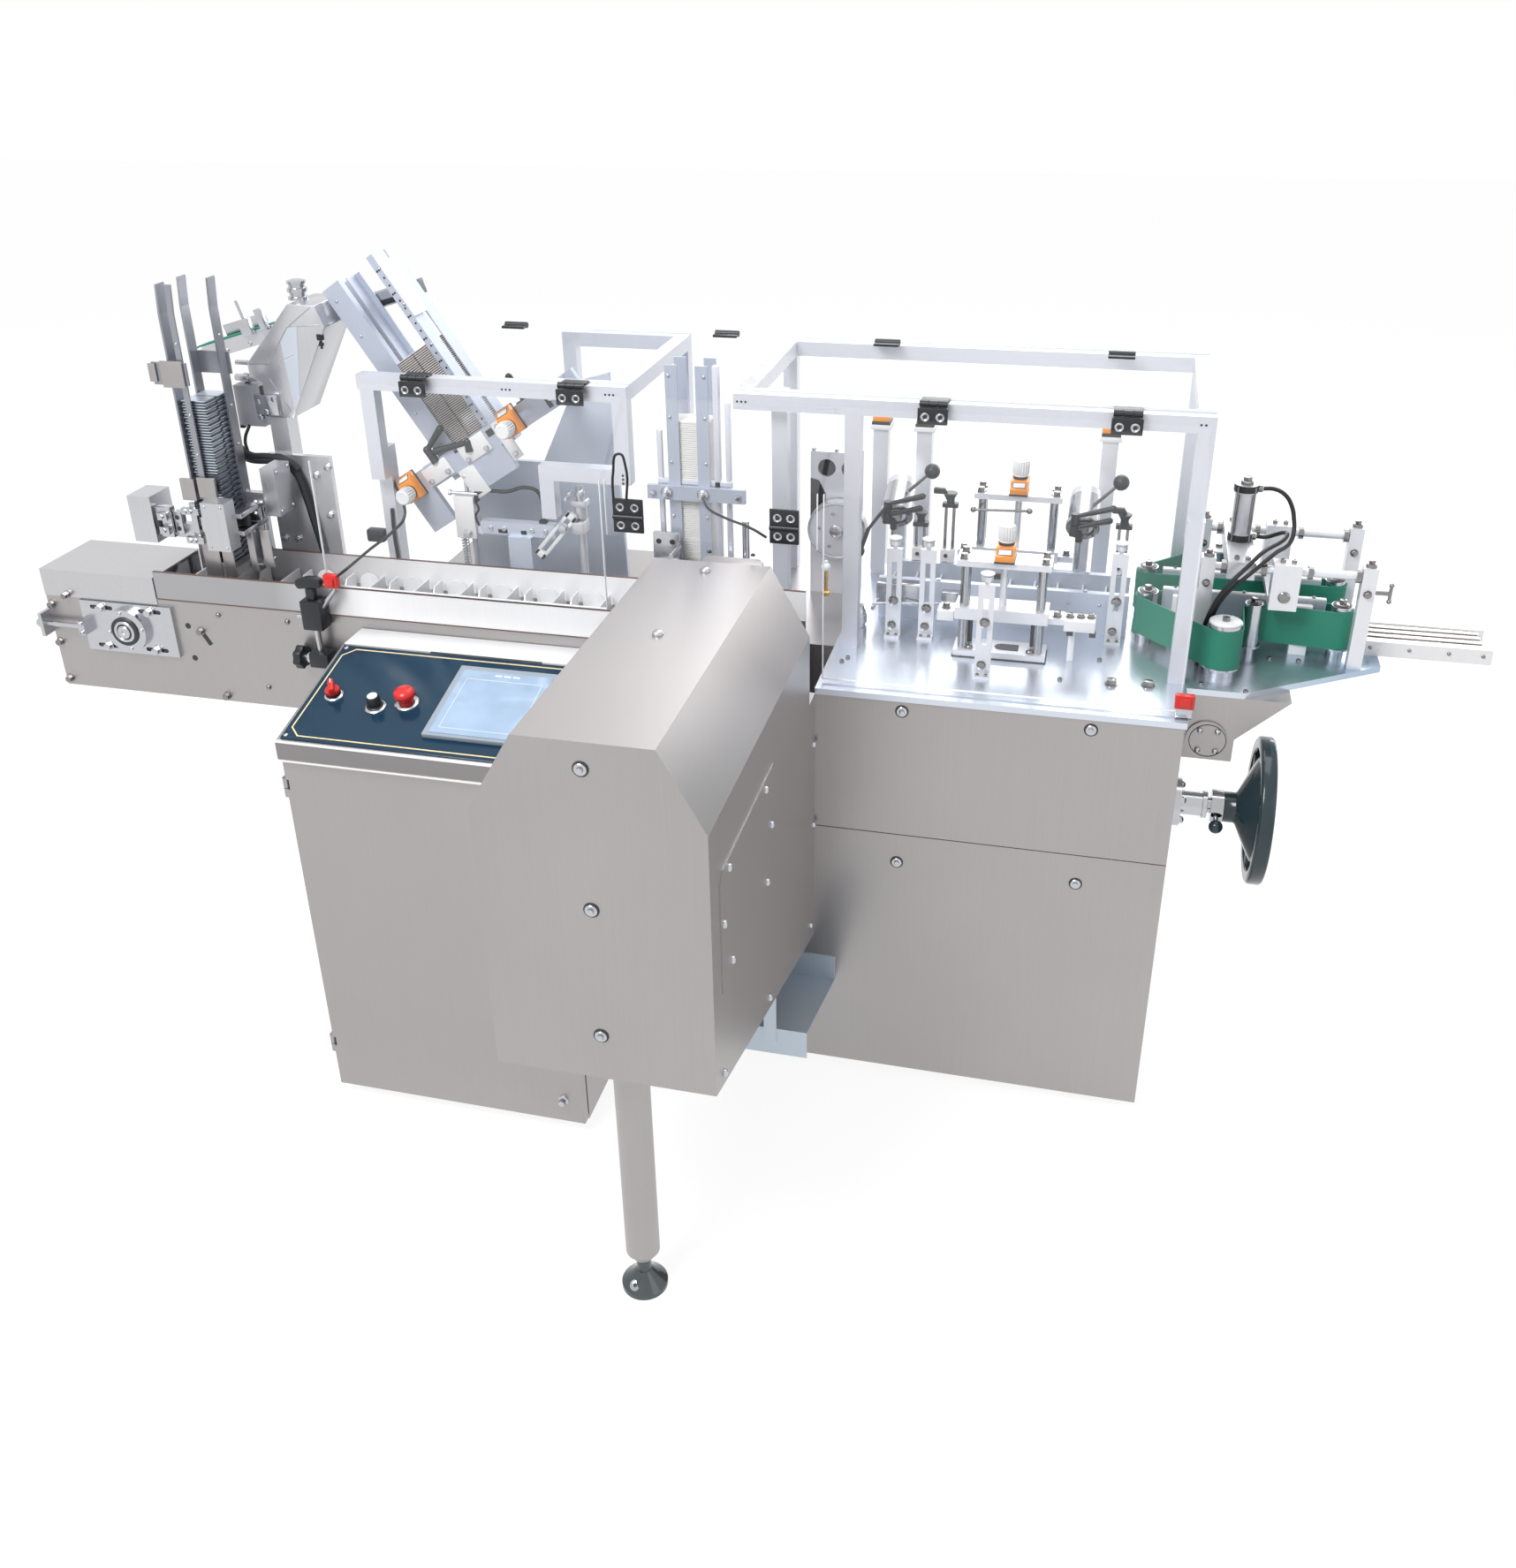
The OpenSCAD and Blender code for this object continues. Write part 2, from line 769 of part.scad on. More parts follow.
// Sheet boxes beside the rails, each on a short arm: left, front and right
side_box = [52, 70, 98];
front_box = [52, 36, 100];
rear_box = [32, 60, 100];
side_gap = 92;
box_gap = 63;
arm_w = 16;
arm_h = 30;
module feeder_boxes() {
    color("lightgray") {
        translate([stand_x0 - side_gap - side_box[0], prod_y0 - 20, prod_low + 53])
            cube(side_box);
        block([stand_x0 - side_gap, prod_y0 + 4, prod_low + 60],
              [stand_x0 - rail_t / 2, prod_y0 + 4 + arm_w, prod_low + 60 + arm_h]);
        translate([stand_x1 - 8, prod_y0 - 30 - front_box[1], prod_low + 65])
            cube(front_box);
        block([front_rail_x, prod_y0 - 30, prod_low + 90],
              [stand_x1 + 10, prod_y0, prod_low + 90 + arm_h]);
        translate([stand_x1 + box_gap, prod_y1 - 50, prod_low + 103])
            cube(rear_box);
        block([stand_x1 + rail_t / 2, prod_y1 - 20, prod_low + 110],
              [stand_x1 + box_gap, prod_y1 - 20 + arm_w, prod_low + 110 + arm_h]);
    }
}

// Rear leaflet feeder: side plate on the trough, column, polygonal cover and inclined belt
leaf_x0 = -1150;
leaf_x1 = -1060;
leaf_y0 = wall_back;
leaf_plate_t = 12;
leaf_z = 1215;
leaf_column = 40;
leaf_column_x = -1190;
leaf_cover_z = 1290;
leaf_cover_y0 = leaf_y0 + leaf_plate_t;
leaf_cover_y1 = leaf_cover_y0 + 110;
motor_x0 = -1262;
motor_w = 60;
motor_z0 = 1268;
motor_h = 84;
motor_d = 66;
incline_x = -1444;
incline_z = 1383;
incline_a = 16.5;
incline_l = 560;
incline_w = 60;
incline_side = 30;
incline_t = 4;
incline_y0 = leaf_cover_y1 + 26;
incline_web = 16;
belt_share = 220;

// Frame along the inclined conveyor: X up the slope, Z out of its bed
module on_incline() {
    translate([incline_x, incline_y0, incline_z])
        rotate([0, -incline_a, 0])
            children();
}

module leaflet_feeder() {
    bracket_z = incline_z + (leaf_column_x - incline_x) * tan(incline_a);
    color("silver") {
        block([leaf_x0 - 54, leaf_y0, infeed_bottom + 60], [leaf_x1, leaf_y0 + leaf_plate_t, leaf_z]);
        block([leaf_column_x, leaf_cover_y0, leaf_z - 60],
              [leaf_column_x + leaf_column, leaf_cover_y0 + leaf_column, leaf_cover_z]);
        block([motor_x0, leaf_cover_y0, motor_z0],
              [motor_x0 + motor_w, leaf_cover_y0 + motor_d, motor_z0 + motor_h]);
        block([motor_x0 + motor_w - 2, leaf_cover_y0 + 10, motor_z0 + 2],
              [leaf_column_x + 2, leaf_cover_y0 + 30, motor_z0 + 20]);
        on_incline() {
            for (y = [0, incline_w - incline_t])
                block([0, y, -incline_side], [incline_l, y + incline_t, 0]);
            block([8, incline_t / 2, -incline_web - incline_t],
                  [incline_l - 8, incline_w - incline_t / 2, -incline_web]);
            block([belt_share + 12, incline_t / 2, -incline_web - incline_t / 2],
                  [incline_l - 12, incline_w - incline_t / 2, -2]);
        }
        block([leaf_column_x, leaf_cover_y1, bracket_z - 62],
              [leaf_column_x + leaf_column, incline_y0 + incline_t / 2, bracket_z - 20]);
    }
}

// Corners of the cover, from the column's left edge and top
cover_corners = [[0, 0], [56, 0], [156, 188], [140, 230], [80, 230], [-30, 109], [-30, 82], [-4, 70]];
module leaflet_cover() {
    color("gainsboro")
        along_y(leaf_cover_y0, leaf_cover_y1)
            polygon([for (c = cover_corners) [leaf_column_x + c[0], leaf_cover_z + c[1]]]);
}

leaf_belt_t = 19;
leaf_belt_w = 20;
module leaflet_belt() {
    color("seagreen")
        on_incline()
            for (y = [incline_t + 4, incline_w - incline_t - 4 - leaf_belt_w])
                translate([0, y, -incline_web + leaf_belt_t / 2]) {
                    for (x = [leaf_belt_t, belt_share - leaf_belt_t])
                        translate([x, 0, 0])
                            bar_y(0, leaf_belt_w, leaf_belt_t);
                    block([leaf_belt_t, 0, -leaf_belt_t / 2],
                          [belt_share - leaf_belt_t, leaf_belt_w, leaf_belt_t / 2]);
                }
}

// Carton magazine frame: X across the stack, Z up the stack
mag_x = -740;
mag_y = 300;
mag_z = 1215;
module on_magazine() {
    translate([mag_x, mag_y, mag_z])
        rotate([0, mag_a - 90, 0])
            children();
}

mag_rail_w = 34;
mag_rail_t = 3;
mag_lip = 12;
mag_flange = 30;
half_w = carton_w / 2;
half_d = carton_d / 2;
module corner_rail(out) {
    translate([half_w, half_d, -4]) {
        block([-mag_lip, 0, 0], [mag_rail_t + out, mag_rail_t, mag_l]);
        block([0, -mag_rail_w, 0], [mag_rail_t, mag_rail_t, mag_l]);
        block([-mag_lip, -8, 0], [mag_rail_t, mag_rail_t, 4]);
    }
}

module carton_magazine() {
    color("lightsteelblue")
        on_magazine()
            for (sx = [0, 1], sy = [0, 1])
                mirror([sx, 0, 0])
                    mirror([0, sy, 0])
                        corner_rail(sx * mag_flange);
}

module carton_stack() {
    color("rosybrown")
        on_magazine()
            block([-half_w + seat, -half_d + seat, 0], [half_w - seat, half_d - seat, stack_l]);
}

bar_t = 14;
bar_h = 46;
bar_x0 = -190;
hang_plates = [[0, 60, 76], [150, 250, 56]];
bar_slot_l = 90;
module magazine_bar() {
    front = -half_d - mag_rail_t - bar_t;
    color("silver")
        on_magazine() {
            difference() {
                block([bar_x0, front, 6], [bar_x0 + bar_l, front + bar_t, 6 + bar_h]);
                translate([bar_x0 + bar_l - 110, 0, 6 + bar_h / 2])
                    slot_y(front - 1, front + bar_t + 1, bar_slot_l, 14);
            }
            for (h = hang_plates)
                block([bar_x0 + h[0], front, 6 - h[2]], [bar_x0 + h[1], front + bar_t, 6 + eps]);
            block([bar_x0, half_d + mag_rail_t, 6], [bar_x0 + bar_l, half_d + mag_rail_t + bar_t, 6 + bar_h]);
            block([bar_x0 + bar_l - 50, front + bar_t - eps, 6],
                  [bar_x0 + bar_l - 20, half_d + mag_rail_t + eps, 6 + bar_h]);
        }
}

support_t = 12;
support_y = mag_y + half_d + mag_rail_t + bar_t;
support_w = 350;
support_rise = 489;
support_step = 20;
support_neck = 70;
pick_x = mag_x + 50;
pick_y = mag_y - 78;
pick_w = 50;
pick_d = 40;
pick_z = 1062;
module magazine_support() {
    left = mag_x - 90;
    low = mag_z - 35;
    color("lightsteelblue") {
        along_y(support_y, support_y + support_t)
            polygon([[left, deck_under], [left + support_w, deck_under],
                [left + support_w - 20, deck_under + support_rise],
                [left + support_w - 20 - support_neck, deck_under + support_rise - support_step],
                [left + support_w / 2, low], [left, low]]);
        block([pick_x, pick_y, deck_under], [pick_x + pick_w, pick_y + pick_d, pick_z]);
        block([pick_x - 60, pick_y + 10, pick_z], [pick_x + 100, pick_y + 30, pick_z + 28]);
    }
}

leafmag_x = -300;
leafmag_y = 266;
leafmag_w = 84;
leafmag_d = 60;
leafmag_low = 1010;
leafmag_top = 1430;
clamp_z = 1166;
clamp_h = 28;
clamp_t = 10;
module leaflet_magazine() {
    color("lightsteelblue") {
        for (x = [leafmag_x - leafmag_w / 2, leafmag_x + leafmag_w / 2 - 24],
             y = [leafmag_y - leafmag_d / 2 - rail_t, leafmag_y + leafmag_d / 2])
            block([x, y, leafmag_low], [x + 24, y + rail_t, leafmag_top]);
        block([leafmag_x - leafmag_w / 2, leafmag_y - leafmag_d / 2 - rail_t, deck_under],
              [leafmag_x + leafmag_w / 2, leafmag_y + leafmag_d / 2 + rail_t, leafmag_low]);
        block([leafmag_x - leafmag_w, leafmag_y - leafmag_d / 2 - rail_t - clamp_t, clamp_z],
              [leafmag_x + leafmag_w + 30, leafmag_y - leafmag_d / 2 - rail_t, clamp_z + clamp_h]);
    }
}

module leaflet_stack() {
    color("white")
        block([leafmag_x - leafmag_w / 2, leafmag_y - leafmag_d / 2 + seat, leafmag_low],
              [leafmag_x + leafmag_w / 2, leafmag_y + leafmag_d / 2 - seat, leafmag_top - 110]);
}

conv_t = 15;
conv_x0 = 60;
conv_x1 = cab_w - 110;
module carton_conveyor() {
    color("lightsteelblue")
        for (y = [path_y0 - conv_t, path_y1])
            block([conv_x0, y, deck_z], [conv_x1, y + conv_t, deck_z + conv_h]);
}

press_x = 232;
press_d = 60;
press_base_t = 14;
press_plate_t = 12;
press_front_y = 190;
press_back_y = 478;
press_front_top = 1085;
press_back_top = 1120;
press_block_t = 24;
press_wing = 30;
press_share = 0.42;
spindle_d = 14;
module press_unit(y, top) {
    travel = top - deck_z;
    translate([press_x, y, deck_z]) {
        cube([press_w, press_d, press_base_t]);
        for (x = [press_post_d, press_w - press_post_d], v = [press_post_d, press_d - press_post_d])
            translate([x, v, press_base_t - eps])
                cylinder(d = press_post_d, h = travel - press_base_t + 2 * eps);
        translate([0, 0, travel])
            cube([press_w, press_d, press_plate_t]);
        translate([0, 0, travel * press_share])
            cube([press_w, press_d, press_block_t]);
        translate([-press_wing, press_d / 2 - 20, travel * press_share])
            cube([press_w + 2 * press_wing, 40, press_plate_t]);
        translate([press_w / 2, press_d / 2, travel * press_share])
            cylinder(d = spindle_d, h = travel * (1 - press_share) + eps);
    }
}

module tuck_presses() {
    color("gainsboro") {
        press_unit(press_front_y, press_front_top);
        press_unit(press_back_y, press_back_top);
    }
}

slot_post_t = 8;
slot_foot = 14;
slot_cap_d = 22;
slot_posts = [[104, 259], [169, 264], [297, 110], [531, 315]];
module slotted_post(p) {
    translate([p[0] - slot_post_w / 2, p[1], deck_z]) {
        difference() {
            cube([slot_post_w, slot_post_t, slot_post_h]);
            translate([slot_post_w / 2 - 5, -1, slot_post_h * 0.35])
                cube([10, slot_post_t + 2, slot_post_h * 0.5]);
        }
        translate([0, -slot_foot, 0])
            cube([slot_post_w, slot_foot + eps, 6]);
        translate([slot_post_w / 2, slot_post_t / 2, slot_post_h - eps]) {
            cylinder(d = slot_post_t, h = 8);
            translate([0, 0, 8])
                cylinder(d = slot_cap_d, h = 9);
        }
    }
}

module slotted_posts() {
    color("white")
        for (p = slot_posts)
            slotted_post(p);
}

columns = [20, 112, cab_w - 175];
column_y = 580;
module position_columns() {
    color("lightsteelblue")
        for (x = columns)
            block([x - column_s / 2, column_y, deck_z],
                  [x + column_s / 2, column_y + column_s, deck_z + column_h]);
}

module deck_posts() {
    slotted_posts();
    position_columns();
}

cap_h = 18;
ind_w = 36;
ind_back = 20;
ind_front = 36;
ind_h = 28;
ind_slope = 14;
ind_in = 8;
module indicator_body() {
    along_x(-ind_w / 2, ind_w / 2)
        polygon([[-ind_back, 0], [ind_front, 0], [ind_front, ind_slope], [ind_front - ind_slope, ind_h],
            [-ind_back, ind_h]]);
}

// Places of the spindles: two presses, two on the magazine's front bar
module at_spindles() {
    for (u = [[press_front_y, press_front_top], [press_back_y, press_back_top]])
        translate([press_x + press_w / 2, u[0] + press_d / 2, u[1] + press_plate_t])
            rotate([0, 0, 180])
                children();
    on_magazine()
        for (x = [bar_x0 + ind_w / 2 + ind_in, half_w + 60])
            translate([x, -half_d - mag_rail_t - bar_t, 26])
                rotate([90, 0, 0])
                    children();
}

module position_indicators() {
    color("orange") {
        for (x = columns)
            block([x - column_s / 2 - 4, column_y - 4, deck_z + column_h],
                  [x + column_s / 2 + 4, column_y + column_s + 4, deck_z + column_h + cap_h]);
        at_spindles()
            indicator_body();
    }
}

collar_d = 26;
collar_h = 7;
grip_d = 34;
grip_h = 32;
module indicator_knobs() {
    color("white")
        at_spindles()
            translate([0, 0, ind_h]) {
                cylinder(d = collar_d, h = collar_h + eps);
                translate([0, 0, collar_h])
                    cylinder(d = grip_d, h = grip_h);
            }
}

drives = [76, 453];
drive_y = 500;
drive_post_h = 190;
drum_len = 80;
drum_tilt = 30;
motor_dia = 60;
ring_d = 68;
ring_t = 8;
module hold_down_drives() {
    color("white")
        for (x = drives)
            translate([x, drive_y, deck_z]) {
                block([-14, -14, 0], [14, 14, drive_post_h]);
                translate([0, 0, drive_post_h + 16])
                    rotate([drum_tilt, 0, 0]) {
                        bar_y(-drum_len / 2, drum_len / 2, motor_dia);
                        bar_y(-drum_len / 2 - ring_t, -drum_len / 2 + eps, ring_d);
                    }
            }
}

tape_x = -48;
tape_y = 450;
tape_z = 1040;
tape_w = 24;
tape_plate_t = 10;
tape_rise = 160;
tape_hole_d = 38;
tape_hole_z = 125;
tape_gap = 6;
module tape_unit() {
    plate_y = tape_y + tape_w + tape_gap;
    color("white") {
        difference() {
            block([tape_x - tape_d / 2, plate_y, deck_under],
                  [0, plate_y + tape_plate_t, tape_z + tape_rise]);
            for (x = [tape_x - 28, tape_x + 22])
                translate([x, 0, tape_z + tape_hole_z])
                    bar_y(plate_y - 1, plate_y + tape_plate_t + 1, tape_hole_d);
        }
        translate([tape_x, tape_y, tape_z]) {
            bar_y(0, tape_w, tape_d);
            bar_y(tape_w - eps, tape_w + tape_gap + eps, 30);
        }
    }
}

// Side belts: each loop runs round two end rollers, a driven drum and an outer idler
belt_z = deck_z + 22;
roller_y = path_y0 - belt_t - roller_d / 2;
idler_d = 34;
end_x0 = cab_w - 77;
end_x1 = cab_w + 279;
drum_x = cab_w + 63;
drum_y = 215;
idler_x = cab_w + 119;
idler_y = 319;
belt_rolls = [[end_x0, roller_y, roller_d / 2, 1], [drum_x, drum_y, drum_d / 2, 1],
    [idler_x, idler_y, idler_d / 2, -1], [end_x1, roller_y, roller_d / 2, 1]];
arc_steps = 24;
belt_seat = 0.3;

function roll_r(c, off) = c[3] > 0 ? c[2] + off : c[2] + belt_t - off;
function run_dir(a, b, off) =
    let (d = [b[0] - a[0], b[1] - a[1]])
    atan2(d[1], d[0]) - asin((b[3] * roll_r(b, off) - a[3] * roll_r(a, off)) / norm(d));
function sweep(from, to, s) =
    let (raw = to - from, turn = raw - 360 * floor(raw / 360))
    s > 0 ? turn : turn - 360;
function belt_outline(rolls, off) = [
    for (i = [0 : len(rolls) - 1])
        let (c = rolls[i],
             into = run_dir(rolls[(i + len(rolls) - 1) % len(rolls)], c, off),
             out = run_dir(c, rolls[(i + 1) % len(rolls)], off),
             turn = sweep(into, out, c[3]))
        for (k = [0 : arc_steps])
            let (a = into + turn * k / arc_steps - 90 * c[3], r = roll_r(c, off))
            [c[0] + r * cos(a), c[1] + r * sin(a)]];

module belt_loop() {
    translate([0, 0, belt_z])
        linear_extrude(belt_h)
            difference() {
                polygon(belt_outline(belt_rolls, belt_t));
                polygon(belt_outline(belt_rolls, 0));
            }
}

path_mid = (path_y0 + path_y1) / 2;
module both_sides() {
    children();
    translate([0, 2 * path_mid, 0])
        mirror([0, 1, 0])
            children();
}

module discharge_belts() {
    color("seagreen")
        both_sides()
            belt_loop();
}

lip_w = 4;
lip_t = 4;
roller_top = 8;
module belt_roller(r) {
    low = belt_z - deck_z;
    rotate_extrude()
        polygon([[0, 0], [r - lip_w, 0], [r - lip_w, low - lip_t - belt_seat],
            [r + lip_w, low - lip_t - belt_seat], [r + lip_w, low - belt_seat],
            [r - belt_seat, low - belt_seat],
            [r - belt_seat, low + belt_h + roller_top], [0, low + belt_h + roller_top]]);
}

module discharge_rollers() {
    color("silver")
        both_sides()
            for (c = belt_rolls)
                translate([c[0], c[1], deck_z])
                    belt_roller(c[2]);
}

// Backing bars behind the belts' inner runs, each on two legs
backing_t = 12;
backing_gap = 8;
backing_leg_d = 10;
module belt_guides() {
    x0 = end_x0 + roller_d / 2 + backing_gap;
    x1 = end_x1 - roller_d / 2 - backing_gap;
    y1 = path_y0 - belt_t - belt_seat;
    color("lightsteelblue")
        both_sides() {
            block([x0, y1 - backing_t, belt_z + backing_gap], [x1, y1, belt_z + belt_h + backing_gap]);
            for (x = [x0 + 40, x1 - 40])
                translate([x, y1 - backing_t / 2, deck_z])
                    cylinder(d = backing_leg_d, h = belt_z - deck_z + backing_gap + eps);
        }
}

frame_x0 = cab_w + 24;
frame_x1 = cab_w + 309;
frame_y0 = 300;
frame_y1 = 515;
frame_s = 26;
guide_z = 1080;
beam_w = 50;
beam_h = 34;
beam_x = [cab_w + 58, cab_w + 140];
hang_h = 90;
skid_t = 12;
module hold_down_frame() {
    skid_z = guide_z + beam_h / 2 - hang_h;
    color("gainsboro") {
        for (x = [frame_x0, frame_x1], y = [frame_y0, frame_y1])
            block([x - frame_s / 2, y - frame_s / 2, deck_z],
                  [x + frame_s / 2, y + frame_s / 2, guide_z + 20]);
        for (y = [frame_y0, frame_y1])
            translate([0, y, guide_z])
                bar_x(frame_x0, frame_x1, guide_d);
        block([beam_x[0], frame_y0 - 18, guide_z - beam_h / 2],
              [beam_x[0] + beam_w, frame_y1 + 18, guide_z + beam_h / 2]);
        for (y = [frame_y0, frame_y1])
            block([beam_x[1], y - 18, skid_z], [beam_x[1] + beam_w, y + 18, guide_z + beam_h / 2]);
        block([beam_x[1], frame_y0, skid_z], [beam_x[1] + beam_w, frame_y1, skid_z + skid_t]);
    }
}

cyl_d = 44;
cyl_l = 112;
cyl_cap_h = 16;
cyl_waist = 3;
port_d = 12;
port_l = 30;
module air_cylinder() {
    color("darkgray")
        translate([beam_x[0] + beam_w / 2, path_mid, guide_z + beam_h / 2]) {
            rotate_extrude()
                polygon([[0, 0], [cyl_d / 2, 0], [cyl_d / 2, cyl_cap_h], [cyl_d / 2 - cyl_waist, cyl_cap_h],
                    [cyl_d / 2 - cyl_waist, cyl_l - cyl_cap_h], [cyl_d / 2, cyl_l - cyl_cap_h],
                    [cyl_d / 2, cyl_l], [0, cyl_l]]);
            for (z = [cyl_cap_h / 2, cyl_l - cyl_cap_h / 2])
                translate([0, 0, z])
                    bar_x(cyl_d / 2 - cyl_waist, port_l, port_d);
        }
}

// Air hoses: each leaves its port, hangs over the front shaft and goes down into the deck
hose_d = 8;
hose_sides = 8;
hose_side = [0.5, 0.5, -0.7];
hose_top_z = guide_z + beam_h / 2 + cyl_l - cyl_cap_h / 2;
hose_low_z = guide_z + beam_h / 2 + cyl_cap_h / 2;
hose_x = beam_x[0] + beam_w / 2 + port_l;
hose_top = [[hose_x, path_mid, hose_top_z], [hose_x + 21, path_mid, hose_top_z], [820, 403, 1192],
    [834, 396, 1172], [840, 388, 1150], [842, 378, 1130], [838, 364, 1116], [828, 346, 1110],
    [815, 326, 1109], [803, 306, 1107], [790, 288, 1101], [774, 273, 1090], [755, 265, 1073],
    [735, 262, 1052], [719, 260, 1028], [709, 260, 1002], [704, 261, 974], [702, 262, 946],
    [702, 262, 920], [702, 262, deck_z]];
hose_low = [[hose_x, path_mid, hose_low_z], [hose_x + 18, path_mid, hose_low_z], [814, 401, 1114],
    [826, 389, 1123], [830, 372, 1127], [826, 355, 1124], [815, 339, 1120], [802, 322, 1118],
    [789, 304, 1116], [777, 286, 1112], [764, 271, 1102], [748, 259, 1087], [731, 251, 1068],
    [716, 247, 1045], [705, 246, 1020], [697, 246, 993], [692, 247, 965], [690, 248, 938],
    [690, 248, 917], [690, 248, deck_z]];

function unit(v) = v / norm(v);
function aim(route, i) = unit(route[min(i + 1, len(route) - 1)] - route[max(i - 1, 0)]);
function hose_ring(c, along) =
    let (u = unit(cross(along, hose_side)), v = cross(along, u))
    [for (k = [0 : hose_sides - 1])
        c + hose_d / 2 * (cos(360 * k / hose_sides) * u + sin(360 * k / hose_sides) * v)];
function hose_points(route) =
    [for (i = [0 : len(route) - 1], q = hose_ring(route[i], aim(route, i))) q];
function hose_walls(rings) =
    [for (i = [0 : rings - 2], k = [0 : hose_sides - 1])
        let (n = (k + 1) % hose_sides)
        [i * hose_sides + k, (i + 1) * hose_sides + k, (i + 1) * hose_sides + n, i * hose_sides + n]];
module air_hose(route) {
    last = (len(route) - 1) * hose_sides;
    ends = [[for (k = [0 : hose_sides - 1]) k], [for (k = [hose_sides - 1 : -1 : 0]) last + k]];
    color("black")
        polyhedron(points = hose_points(route), faces = concat(hose_walls(len(route)), ends));
}

chute_t = 6;
chute_rail = 30;
chute_x0 = cab_w + ext_l - 36;
module discharge_chute() {
    color("gainsboro")
        along_x(chute_x0, cab_w + ext_l + chute_l)
            polygon([[path_y0 - 8, deck_z], [path_y1 + 8, deck_z], [path_y1 + 8, deck_z + chute_rail],
                [path_y1 + 2, deck_z + chute_rail], [path_y1 + 2, deck_z + chute_t],
                [path_y0 - 2, deck_z + chute_t], [path_y0 - 2, deck_z + chute_rail],
                [path_y0 - 8, deck_z + chute_rail]]);
}

// Guard frame: upper rails between the posts, front and back, left and right
rail_low = rail_z - prof;
back_rail_y = cab_d - prof - 5;
left_rail = [-965, -405];
left_back_rail = [-690, -405];
right_rail = [-196, cab_w];
inner_post_x = 15;
mid_post_x = -130;
lower_post_top = 1215;
upper_post_low = 1165;
left_post_step = 1240;
hang_x = -595;
hang_z = 1202;
module guard_rails() {
    color("gainsboro") {
        for (r = [left_rail, right_rail])
            block([r[0], rail_y, rail_low], [r[1], rail_y + prof, rail_z]);
        for (r = [left_back_rail, right_rail])
            block([r[0], back_rail_y, rail_low], [r[1], back_rail_y + prof, rail_z]);
    }
}

module guard_frame() {
    color("gainsboro") {
        for (x = [left_rail[1] - prof, right_rail[0], right_rail[1] - prof])
            block([x, rail_y + prof, rail_low], [x + prof, back_rail_y, rail_z]);
        block([left_rail[1] - prof, rail_y, hang_z], [left_rail[1], rail_y + prof, rail_low]);
        block([hang_x, rail_y, hang_z], [left_rail[1] - prof + eps, rail_y + prof, hang_z + prof]);
        block([hang_x, rail_y, hang_z - 80], [hang_x + prof, rail_y + prof, hang_z + eps]);
        block([left_rail[0] + 5, rail_y, left_post_step - 60],
              [left_rail[0] + 5 + prof, rail_y + prof, rail_low]);
        block([left_rail[0] + 5, rail_y + prof, deck_under],
              [left_rail[0] + 5 + prof, rail_y + 2 * prof, left_post_step]);
        block([inner_post_x, rail_y, deck_z], [inner_post_x + prof, rail_y + prof, rail_low]);
        block([mid_post_x, rail_y + prof, deck_under], [mid_post_x + prof, rail_y + 2 * prof, rail_z]);
        block([cab_w - prof, rail_y, upper_post_low], [cab_w, rail_y + prof, rail_low]);
        block([cab_w - prof, rail_y - prof, deck_z], [cab_w, rail_y, lower_post_top]);
        for (x = [left_back_rail[0], left_back_rail[1] - prof, right_rail[0]])
            block([x, back_rail_y, deck_under], [x + prof, back_rail_y + prof, rail_low]);
        block([cab_w - prof, back_rail_y, deck_z], [cab_w, back_rail_y + prof, rail_low]);
    }
}

roof_back = back_rail_y + prof;
roof_front = rail_y + 26;
module roof_panels() {
    color("lightcyan", 0.4) {
        block([left_back_rail[0] + 60, roof_front, rail_z], [left_rail[1], roof_back, rail_z + clear_t]);
        block([right_rail[0], roof_front, rail_z], [right_rail[1], roof_back, rail_z + clear_t]);
    }
}

// Bent clear sheet: sloped from the rail to the bend, then upright
door_y = infeed_y - 6;
hinge_y = rail_y - 12;
hinge_z = rail_z + 2;
module bent_sheet(low) {
    top_y = hinge_y + 3;
    top_z = rail_z - 14;
    polygon([[top_y, top_z], [door_y, bend_z], [door_y, low], [door_y + clear_t, low],
        [door_y + clear_t, bend_z - 3], [top_y, top_z - clear_t - 2]]);
}

module centre_guard() {
    color("lightcyan", 0.4) {
        along_x(left_rail[1] + 3, -2)
            bent_sheet(load_z + 8);
        block([right_rail[0], hinge_y + 3, rail_z - 30], [-2, rail_y, rail_z - 16]);
    }
}

hinge_w = 50;
leaf_t = 4;
barrel_d = 12;
left_hinges = [-835, -510];
right_hinges = [178, cab_w - 150];
left_door_x = [-1000, -410];
right_door_x = [8, cab_w - 11];
left_door_low = trough_z + 6;
right_door_low = deck_z + 7;

// Rail half of a guard hinge: leaf on the rail, middle knuckle and pin
module hinge_rail_half(x) {
    translate([x, 0, 0]) {
        block([-hinge_w / 2, rail_y, rail_z], [hinge_w / 2, rail_y + 22, rail_z + leaf_t]);
        block([-8, hinge_y, rail_z], [8, rail_y + 1, rail_z + leaf_t]);
        translate([0, hinge_y, hinge_z]) {
            bar_x(-8, 8, barrel_d);
            bar_x(-hinge_w / 2, hinge_w / 2, pin_d);
        }
    }
}

